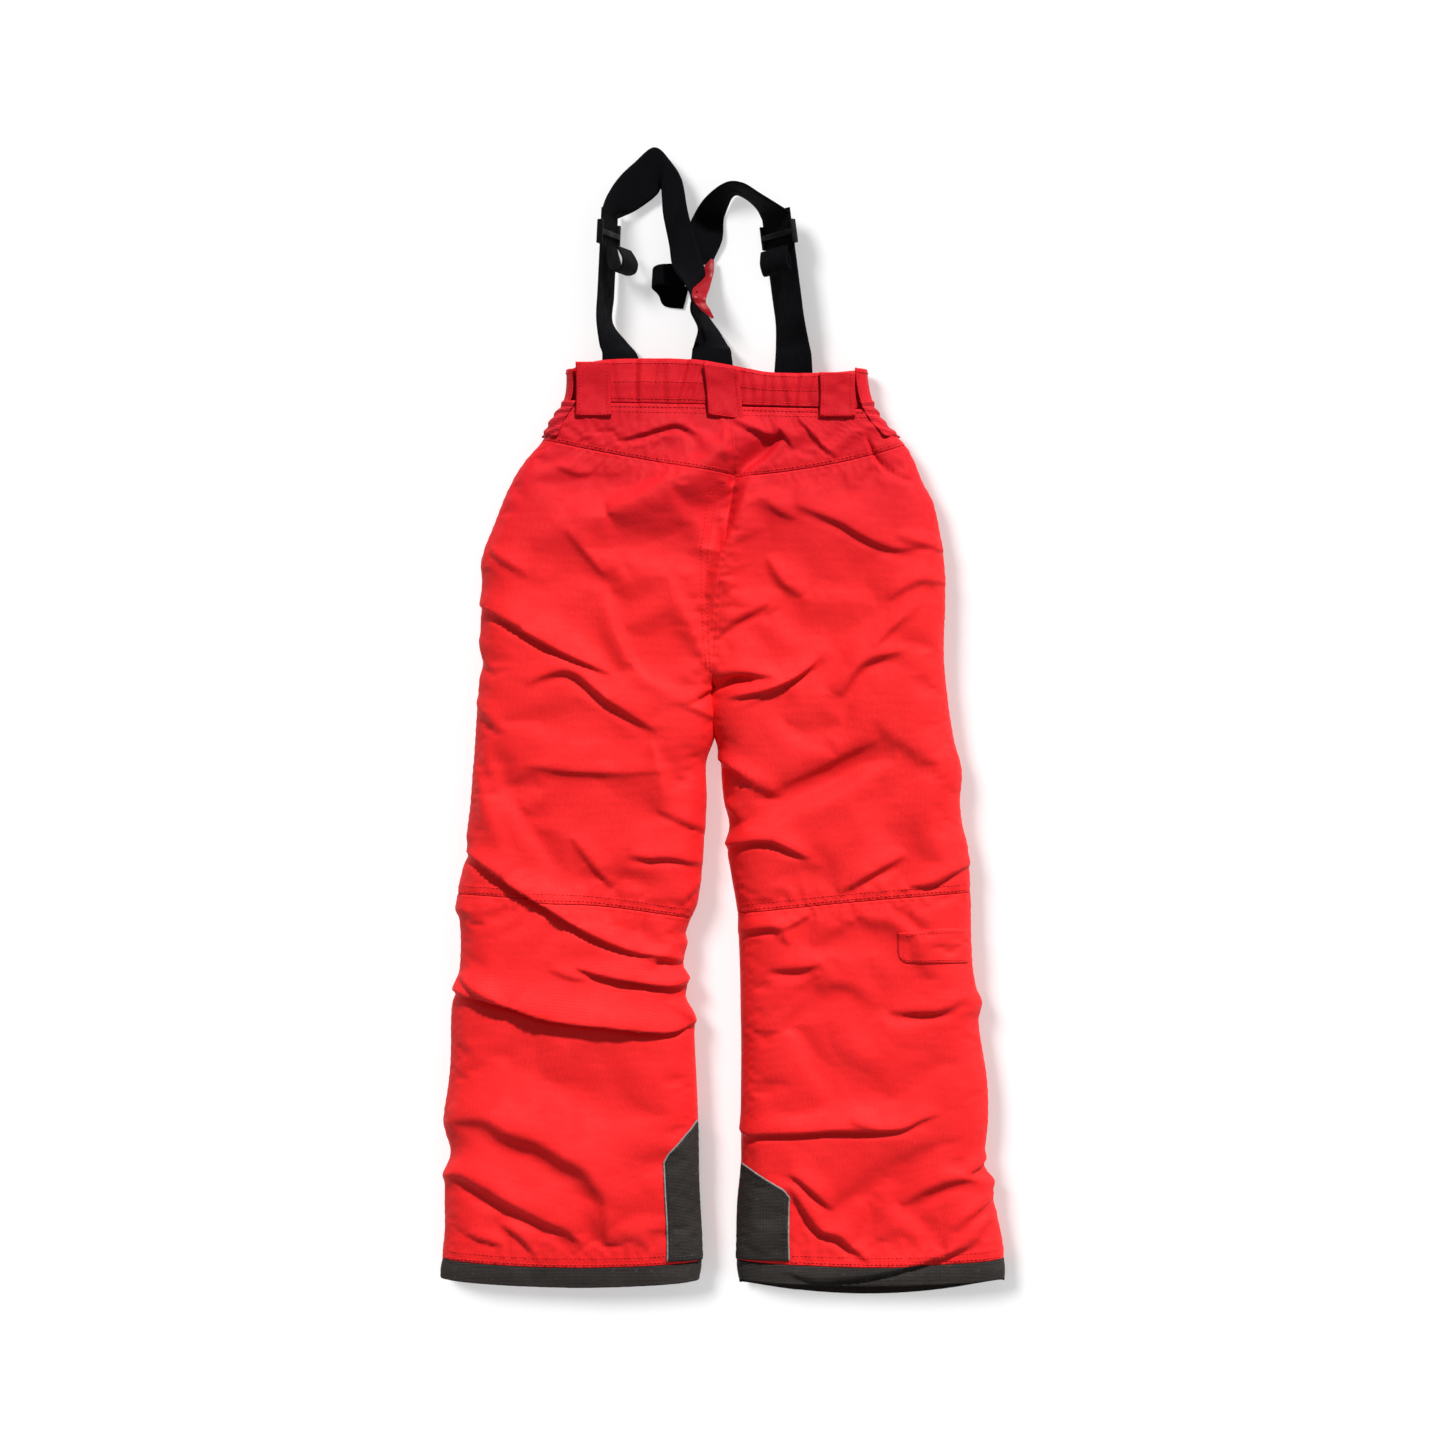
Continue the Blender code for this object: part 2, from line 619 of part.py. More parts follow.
def make_fly(shell, tape, metal):
    middle = (FLY_TOP + FLY_BOTTOM) / 2
    length = FLY_TOP - FLY_BOTTOM
    box("fly_zip_tape", (0.026, length, 0.0010), Matrix.Translation((0, middle, 0.0059)), tape, 0.0003)
    add_zip_slider("fly_zip_slider", Matrix.Translation((0, FLY_TOP - SLIDER_FROM_END, 0.0038)), metal)
    profile = ((0.0225, 0.0058), (0.0195, 0.0030), (0.0150, 0.0013), (0.0000, 0.0010), (-0.0210, 0.0010))

    def point(column, row):
        x, z = spline(profile, column / 8)
        return Vector((x, FLY_TOP + 0.002 - (length + 0.006) * row / 3, z))

    sheet("fly_placket", 8, 3, point, 0.0009, shell, (0, 0, -1))


def add_zip_slider(name, place, metal):
    """A slider with a channel along each side for the teeth, and its pull lying along the closed zip."""
    width, length, height = 0.0085, 0.0115, 0.0030
    obj = box(name, (width, length, height), place, metal, 0.0008)
    for side in (-1, 1):
        channel = Matrix.Translation((side * width / 2, 0, 0.0003))
        combine(obj, (0.0040, 0.0140, 0.0012), place @ channel)
    pull_length = 0.0160
    pull = Matrix.Translation((0, -(length + pull_length) / 2 + 0.0015, -0.0008))
    combine(obj, (0.0044, pull_length, 0.0009), place @ pull, "UNION")


def make_snap(metal):
    """The press stud that closes the waistband over the fly."""
    mesh = bpy.data.meshes.new("waist_snap")
    radius = 0.0070
    profile = ((0.0, 0.0), (radius, 0.0), (radius, -0.0012), (radius * 0.8, -0.0026), (0.0, -0.0030))
    points = [(x, 0.0, z) for x, z in profile]
    lines = [(i, i + 1) for i in range(len(points) - 1)]
    mesh.from_pydata(points, lines, [])
    place = Matrix.Translation((0.0140, 0.3340, WAIST_RELIEF - 0.0005))
    obj = add_object("waist_snap", mesh, metal, place)
    screw = obj.modifiers.new("turn", "SCREW")
    screw.steps = 20
    screw.render_steps = 20
    screw.use_merge_vertices = True
    screw.merge_threshold = 0.0001


def make_hand_pockets(tape, metal):
    tape_width, tape_height, slider_height = 0.0220, 0.0052, 0.0030
    for side, (upper, lower) in POCKET_ZIPS.items():
        upper, lower = Vector(upper), Vector(lower)
        along = (lower - upper).normalized()
        turn = Matrix.Rotation(Vector((0, -1)).angle_signed(along) * -1.0, 4, "Z")
        middle = (upper + lower) / 2
        place = Matrix.Translation((middle.x, middle.y, tape_height)) @ turn
        box(f"hand_pocket_zip_{side}", (tape_width, (lower - upper).length, 0.0010), place, tape, 0.0003)
        start = upper + along * SLIDER_FROM_END
        slider_place = Matrix.Translation((start.x, start.y, slider_height)) @ turn
        add_zip_slider(f"hand_pocket_slider_{side}", slider_place, metal)


# ---------------------------------------------------------------- suspenders


def make_front_straps(webbing):
    """Each front strap runs straight under its adjuster, then flattens towards the waist."""
    ends = {"left": (Vector((-0.1020, 0.3672)), -27.0), "right": (Vector((0.0715, 0.3672)), 25.0)}
    for side, (upper, lower, roll) in STRAP_RUNS.items():
        waist, waist_roll = ends[side]
        direction = (lower - upper).normalized()
        sections = []
        for step in range(5):
            sections.append(rolled_section(upper.lerp(lower, step / 4), direction, roll, RUN_CLEARANCE))
        bend = lower.lerp(waist, 0.55) + direction * 0.003
        towards = (waist - lower).normalized()
        halfway = (direction + towards).normalized()
        sections.append(rolled_section(bend, halfway, (roll + waist_roll) / 2, 0.0050))
        sections.append(rolled_section(waist, Vector((0, -1)), waist_roll, 0.0118))
        ribbon(f"front_strap_{side}", sections, webbing, 18)
        make_front_anchor(side, waist, waist_roll, webbing)


def make_front_anchor(side, waist, waist_roll, webbing):
    """The end of a front strap, sewn inside the front of the waistband."""
    down = Vector((0, -1))
    start = waist + down * 0.0008
    inner = start + down * 0.020
    sewn = start + down * 0.048
    sections = [
        rolled_section(start, down, waist_roll, 0.0118),
        rolled_section(inner, down, waist_roll * 0.5, 0.0125),
        rolled_section(sewn, down, 0.0, 0.0142),
    ]
    ribbon(f"front_strap_anchor_{side}", sections, webbing, 5)


def make_back_strap(webbing):
    """The single strap from the back of the waist up to the junction, turning on edge as it rises."""
    sections = [
        ((-0.0300, 0.4215, 0.0385), (-0.0185, 0.4215, 0.0030)),
        ((-0.0310, 0.4090, 0.0370), (-0.0150, 0.4090, 0.0030)),
        ((-0.0240, 0.3930, 0.0340), (-0.0030, 0.3930, 0.0040)),
        ((-0.0270, 0.3800, 0.0280), (0.0050, 0.3790, 0.0110)),
        ((-0.0290, 0.3738, 0.0225), (0.0090, 0.3728, 0.0215)),
    ]
    ribbon("back_strap", sections, webbing, 10)
    anchor = [
        ((-0.0315, 0.3725, 0.0220), (0.0100, 0.3715, 0.0220)),
        ((-0.0315, 0.3520, 0.0230), (0.0110, 0.3500, 0.0230)),
        ((-0.0300, 0.3230, 0.0240), (0.0110, 0.3210, 0.0240)),
    ]
    ribbon("back_strap_anchor", anchor, webbing, 4, 0.0036)


def make_shoulder_straps(webbing):
    upper, lower, roll = STRAP_RUNS["left"]
    direction = (lower - upper).normalized()
    start = rolled_section(upper - direction * 0.0010, direction, roll, RUN_CLEARANCE)
    left = [
        start[::-1],
        ((-0.1150, 0.5240, 0.0330), (-0.0890, 0.5130, 0.0080)),
        ((-0.1040, 0.5440, 0.0220), (-0.0750, 0.5220, 0.0080)),
        ((-0.0880, 0.5610, 0.0160), (-0.0650, 0.5300, 0.0100)),
        ((-0.0680, 0.5764, 0.0160), (-0.0610, 0.5350, 0.0150)),
        ((-0.0520, 0.5620, 0.0220), (-0.0600, 0.5240, 0.0230)),
        ((-0.0400, 0.5420, 0.0220), (-0.0590, 0.5080, 0.0260)),
        ((-0.0340, 0.5100, 0.0200), (-0.0530, 0.4780, 0.0280)),
        ((-0.0240, 0.4740, 0.0190), (-0.0490, 0.4540, 0.0310)),
        ((-0.0170, 0.4480, 0.0120), (-0.0380, 0.4380, 0.0380)),
        ((-0.0190, 0.4290, 0.0070), (-0.0290, 0.4260, 0.0420)),
    ]
    ribbon("shoulder_strap_left", left, webbing, 30)
    upper, lower, roll = STRAP_RUNS["right"]
    direction = (lower - upper).normalized()
    end = rolled_section(upper - direction * 0.0010, direction, roll, RUN_CLEARANCE)
    right = [
        ((-0.0460, 0.4700, 0.0030), (-0.0080, 0.4685, 0.0030)),
        ((-0.0380, 0.4870, 0.0050), (0.0000, 0.4840, 0.0050)),
        ((-0.0300, 0.5060, 0.0100), (0.0015, 0.5030, 0.0030)),
        ((-0.0170, 0.5240, 0.0240), (0.0030, 0.5110, 0.0025)),
        ((0.0020, 0.5360, 0.0370), (0.0120, 0.5240, 0.0025)),
        ((0.0200, 0.5360, 0.0380), (0.0230, 0.5240, 0.0020)),
        ((0.0380, 0.5260, 0.0340), (0.0340, 0.5140, 0.0020)),
        end,
    ]
    ribbon("shoulder_strap_right", right, webbing, 22)


def make_junction(satin, webbing):
    """The satin patch that joins the straps behind the shoulders, and the webbing tab folded beside it."""
    patch = [
        ((-0.0100, 0.4645, 0.0010), (-0.0055, 0.4640, 0.0055)),
        ((-0.0145, 0.4540, 0.0010), (-0.0055, 0.4540, 0.0080)),
        ((-0.0170, 0.4400, 0.0012), (-0.0075, 0.4390, 0.0100)),
        ((-0.0165, 0.4280, 0.0012), (-0.0085, 0.4270, 0.0100)),
        ((-0.0130, 0.4180, 0.0014), (-0.0085, 0.4170, 0.0080)),
        ((-0.0090, 0.4080, 0.0016), (-0.0050, 0.4060, 0.0060)),
    ]
    ribbon("strap_junction_patch", patch, satin, 8, 0.0008)
    tab = [
        ((-0.0400, 0.4600, 0.0110), (-0.0370, 0.4360, 0.0110)),
        ((-0.0520, 0.4600, 0.0135), (-0.0520, 0.4380, 0.0135)),
        ((-0.0640, 0.4590, 0.0130), (-0.0650, 0.4390, 0.0130)),
        ((-0.0690, 0.4550, 0.0085), (-0.0700, 0.4360, 0.0085)),
        ((-0.0630, 0.4480, 0.0035), (-0.0640, 0.4300, 0.0035)),
        ((-0.0500, 0.4400, 0.0014), (-0.0580, 0.4190, 0.0014)),
        ((-0.0330, 0.4390, 0.0014), (-0.0390, 0.4160, 0.0014)),
    ]
    ribbon("strap_fold_tab", tab, webbing, 18)


def adjuster_place(side):
    """Frame of an adjuster: X across the strap, Y up along it and Z out of its face."""
    upper, lower, roll = STRAP_RUNS[side]
    direction = (lower - upper).normalized()
    a, b = rolled_section(upper + direction * ADJUSTER_FROM_TOP, direction, roll, RUN_CLEARANCE)
    across = (b - a).normalized()
    along = Vector((-direction.x, -direction.y, 0))
    normal = across.cross(along)
    if normal.z < 0:
        across, normal = -across, -normal
    frame = Matrix((across, along, normal)).transposed().to_4x4()
    frame.translation = (a + b) / 2
    return frame


def make_adjusters(plastic, webbing):
    """Ladder-lock sliders: end bars under the strap, a middle bar over it, and the slack bight beyond."""
    height = 0.0066
    slot = 0.0013
    bar = 0.0050
    for side in ("left", "right"):
        place = adjuster_place(side)
        name = f"strap_adjuster_{side}"
        obj = box(name, (ADJUSTER_WIDTH, ADJUSTER_LENGTH, height), place, plastic, 0.0007)
        clear = WEBBING_WIDTH + 0.0014
        combine(obj, (clear, 0.05, 2 * slot), place)
        open_length = (ADJUSTER_LENGTH - bar) / 2 + 0.002
        for end in (-1, 1):
            above = Matrix.Translation((0, end * (bar + open_length) / 2, (height + slot) / 2))
            combine(obj, (clear, open_length, height), place @ above)
        below = Matrix.Translation((0, 0, -height / 2))
        combine(obj, (clear, ADJUSTER_LENGTH - 2 * bar, height), place @ below)
        reach = BIGHT_REACH[side]
        profile = (
            (-0.0130, 0.0045), (-0.0240, 0.0060), (-0.0340, 0.0085), (-0.0385, 0.5 * reach + 0.003),
            (-0.0360, reach), (-0.0260, reach + 0.0015), (-0.0145, 0.65 * reach + 0.002),
        )

        def point(column, row, profile=profile, place=place):
            y, z = spline(profile, row / 12)
            share = smoothstep(0, 3, row) * 0.35 + 0.65
            return place @ Vector((WEBBING_WIDTH * 0.48 * share * (column - 1), y, z))

        sheet(f"strap_bight_{side}", 2, 12, point, WEBBING, webbing, (0, 0, 1), offset=0.0)


def joint_empty(name, place, nodes, parent=None):
    """An empty on a joint's axis, which carries the nodes that turn or slide about it."""
    empty = bpy.data.objects.new(name, None)
    empty.empty_display_size = 0.03
    empty.location = place
    GARMENT.objects.link(empty)
    if parent is not None:
        hang(empty, *parent)
    for node in nodes:
        hang(bpy.data.objects[node], empty, place)
    return empty, place


def hang(obj, parent, place):
    """Parents an object to an empty at place without moving it."""
    obj.parent = parent
    obj.matrix_parent_inverse = Matrix.Translation(place).inverted()


def add_joint_empties():
    leg_nodes = ("lower_back_leg", "lower_front_leg", "hem_band_back", "hem_band_front", "scuff_guard_back",
                 "scuff_guard_front", "leg_lining", "snow_gaiter")
    knees = {}
    for side in ("left", "right"):
        place = Vector((LEG_MIDDLE[side], *KNEE_AXIS))
        knees[side] = joint_empty(f"knee_{side}", place, [f"{name}_{side}" for name in leg_nodes])
        tab_hinge = side_point(side, 0.336, radians(TAB_HINGE_ANGLE), TAB_STAND_OFF)
        joint_empty(f"side_tab_hinge_{side}", tab_hinge, [f"side_tab_{side}"])
        upper, lower = (Vector(end) for end in POCKET_ZIPS[side])
        start = upper + (lower - upper).normalized() * SLIDER_FROM_END
        joint_empty(f"hand_pocket_slide_{side}", start.to_3d(), [f"hand_pocket_slider_{side}"])
    flap_place = Vector((0.204, *FLAP_AXIS))
    joint_empty("pocket_flap_hinge", flap_place, ["leg_pocket_flap"], knees["right"])
    joint_empty("fly_slide", Vector((0, FLY_TOP - SLIDER_FROM_END, 0)), ["fly_zip_slider"])
    straps = ["back_strap", "strap_junction_patch", "strap_fold_tab", "shoulder_strap_left",
              "shoulder_strap_right", "front_strap_left", "front_strap_right"]
    suspenders = joint_empty("suspenders_fold", Vector((0, *WAIST_AXIS)), straps)
    for side in ("left", "right"):
        nodes = [f"strap_adjuster_{side}", f"strap_bight_{side}"]
        joint_empty(f"adjuster_slide_{side}", adjuster_place(side).translation, nodes, suspenders)


def build():
    shell = material("red_shell", (0.80, 0.035, 0.040), 0.62)
    guard_cloth = material("guard_cloth", (0.042, 0.036, 0.032), 0.70)
    lining = material("lining", (0.030, 0.030, 0.034), 0.50)
    gaiter_cloth = material("gaiter_cloth", (0.020, 0.020, 0.022), 0.55)
    elastic = material("side_elastic", (0.55, 0.022, 0.035), 0.65)
    tape = material("zip_tape", (0.020, 0.020, 0.022), 0.75)
    webbing = material("webbing", (0.012, 0.012, 0.016), 0.72)
    satin = material("junction_satin", (0.46, 0.015, 0.030), 0.32)
    plastic = material("adjuster_plastic", (0.010, 0.010, 0.011), 0.35)
    metal = material("zip_metal", (0.18, 0.18, 0.19), 0.35, 0.9)
    make_upper_panels(shell)
    make_seat_lining(lining)
    make_lower_legs(shell)
    make_hem_bands(guard_cloth)
    make_scuff_guards(guard_cloth)
    make_leg_tubes(lining, gaiter_cloth)
    make_pocket_flap(shell)
    make_waistband(shell)
    make_belt_loops(shell)
    make_side_pieces(shell, elastic)
    make_fly(shell, tape, metal)
    make_snap(metal)
    make_hand_pockets(tape, metal)
    make_front_straps(webbing)
    make_back_strap(webbing)
    make_shoulder_straps(webbing)
    make_junction(satin, webbing)
    make_adjusters(plastic, webbing)
    add_joint_empties()


clear_scene()
GARMENT = new_collection("ski_pants")
CUTTERS = new_collection("cutters", hidden=True)
build()
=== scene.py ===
"""Looks of the padded ski pants, lying flat with the back up. Metres, +Z up, the waist towards +Y.

Every panel is a fine grid on the garment's section, raised along its folds, settled by a cloth simulation
and given a thickness. The webbing, the fastenings and the stitching are built piece by piece.
"""

from math import cos, pi, radians, sin

import bmesh
import bpy
import numpy as np
from mathutils import Matrix, Vector


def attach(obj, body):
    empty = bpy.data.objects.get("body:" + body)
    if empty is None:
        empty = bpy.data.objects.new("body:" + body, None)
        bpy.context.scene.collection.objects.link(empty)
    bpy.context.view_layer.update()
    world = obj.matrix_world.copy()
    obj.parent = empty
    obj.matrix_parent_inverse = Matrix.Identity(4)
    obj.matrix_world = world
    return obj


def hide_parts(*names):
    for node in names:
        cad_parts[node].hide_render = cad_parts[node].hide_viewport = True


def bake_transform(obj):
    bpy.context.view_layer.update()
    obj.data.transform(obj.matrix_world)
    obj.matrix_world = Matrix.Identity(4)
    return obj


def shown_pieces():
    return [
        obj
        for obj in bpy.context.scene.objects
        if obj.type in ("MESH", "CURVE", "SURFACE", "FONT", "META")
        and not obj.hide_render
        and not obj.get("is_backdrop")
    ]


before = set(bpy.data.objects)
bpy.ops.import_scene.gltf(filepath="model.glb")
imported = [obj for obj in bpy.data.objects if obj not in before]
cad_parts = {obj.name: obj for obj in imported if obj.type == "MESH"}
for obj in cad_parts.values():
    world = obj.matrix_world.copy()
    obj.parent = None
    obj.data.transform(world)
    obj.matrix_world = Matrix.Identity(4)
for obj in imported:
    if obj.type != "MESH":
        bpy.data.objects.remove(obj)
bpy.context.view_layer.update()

SIDES = ("left", "right")
INWARD = {"left": 1.0, "right": -1.0}  # direction in x from a side seam towards the middle

# ---------------------------------------------------------------- the garment's section, as in the CAD

EDGE_HEIGHT = 0.016
CROTCH_Y = 0.032
SHELL = 0.0028
HEM_BAND = 0.020
WEBBING_WIDTH = 0.039
WEBBING = 0.0018
WAIST_RELIEF = 0.0068

# Outlines in metres: x of each seam at y, with the dents that the folds make in it.
OUTSEAM = {
    "left": (
        (0.365, -0.153), (0.325, -0.155), (0.302, -0.169), (0.282, -0.180), (0.262, -0.197), (0.242, -0.210),
        (0.202, -0.227), (0.162, -0.241), (0.140, -0.2405), (0.082, -0.242), (0.060, -0.239), (0.042, -0.243),
        (-0.018, -0.247), (-0.078, -0.251), (-0.112, -0.255), (-0.127, -0.253), (-0.148, -0.260),
        (-0.186, -0.267), (-0.198, -0.263), (-0.249, -0.262), (-0.265, -0.266), (-0.289, -0.271),
        (-0.347, -0.273), (-0.406, -0.278), (-0.434, -0.272), (-0.454, -0.278), (-0.505, -0.278),
        (-0.537, -0.281), (-0.560, -0.2835),
    ),
    "right": (
        (0.365, 0.141), (0.325, 0.147), (0.302, 0.159), (0.278, 0.183), (0.262, 0.192), (0.242, 0.200),
        (0.218, 0.212), (0.168, 0.222), (0.138, 0.224), (0.082, 0.222), (0.042, 0.224), (-0.018, 0.233),
        (-0.047, 0.240), (-0.079, 0.238), (-0.102, 0.240), (-0.125, 0.246), (-0.171, 0.249), (-0.240, 0.250),
        (-0.265, 0.254), (-0.280, 0.260), (-0.300, 0.257), (-0.357, 0.265), (-0.397, 0.266), (-0.434, 0.263),
        (-0.447, 0.264), (-0.459, 0.273), (-0.470, 0.271), (-0.515, 0.280), (-0.539, 0.2825), (-0.562, 0.2835),
    ),
}
INSEAM = {
    "left": (
        (0.330, 0.003), (0.248, 0.013), (0.218, 0.009), (0.150, -0.001), (0.086, -0.008), (CROTCH_Y, -0.010),
        (0.018, -0.0075), (0.000, -0.0075), (-0.018, -0.0090), (-0.040, -0.0165), (-0.080, -0.016), (-0.120, -0.018),
        (-0.179, -0.024), (-0.211, -0.036), (-0.221, -0.034), (-0.242, -0.039), (-0.257, -0.033),
        (-0.276, -0.036), (-0.296, -0.029), (-0.399, -0.024), (-0.456, -0.023), (-0.529, -0.020), (-0.560, -0.023),
    ),
    "right": (
        (0.330, 0.003), (0.248, 0.013), (0.218, 0.009), (0.150, -0.001), (0.086, -0.008), (CROTCH_Y, -0.010),
        (0.018, -0.0125), (0.000, -0.0110), (-0.014, -0.0070), (-0.037, -0.001), (-0.081, 0.003), (-0.106, 0.008),
        (-0.125, 0.005), (-0.152, 0.009), (-0.190, 0.015), (-0.278, 0.018), (-0.404, 0.019), (-0.442, 0.019), (-0.486, 0.015), (-0.539, 0.015),
        (-0.562, 0.018),
    ),
}

# Cross seams: y at the outseam, half way over, and at the inseam or the centre seam.
WAIST_SEAM = {"left": (0.3190, 0.3180, 0.3165), "right": (0.3120, 0.3135, 0.3150)}
YOKE_SEAM = {"left": (0.2820, 0.2640, 0.2460), "right": (0.2770, 0.2560, 0.2440)}
KNEE_SEAM = {"left": (-0.1715, -0.1800, -0.1960), "right": (-0.1700, -0.1790, -0.1910)}
HEM_BACK = {"left": (-0.5560, -0.5635, -0.5580), "right": (-0.5560, -0.5620, -0.5570)}
HEM_FRONT = {"left": (-0.5550, -0.5620, -0.5580), "right": (-0.5600, -0.5760, -0.5620)}
GUARD_TOP = {"left": (-0.4340, -0.3980), "right": (-0.4690, -0.4410)}
GUARD_WIDTH = {"left": 0.033, "right": 0.050}

WAIST_TOP = (
    (-0.156, 0.3500), (-0.140, 0.3570), (-0.110, 0.3620), (-0.030, 0.3620),
    (0.010, 0.3560), (0.050, 0.3490), (0.110, 0.3490), (0.142, 0.3520),
)
TOP_HEIGHT = (
    (0.365, 0.0335), (0.300, 0.0350), (0.200, 0.0425), (0.050, 0.0460), (-0.220, 0.0455), (-0.450, 0.0430),
    (-0.580, 0.0370),
)
EDGE_ROUND = ((0.365, 0.0200), (0.300, 0.0240), (0.180, 0.0450), (-0.580, 0.0450))
HIGHEST = 0.0620
FOLD_FULLNESS = 1.15
FOLD_SPREAD = 1.35  # how much wider than listed the gentle sides are
SQUARENESS = 2.5  # of the legs' rounded sides

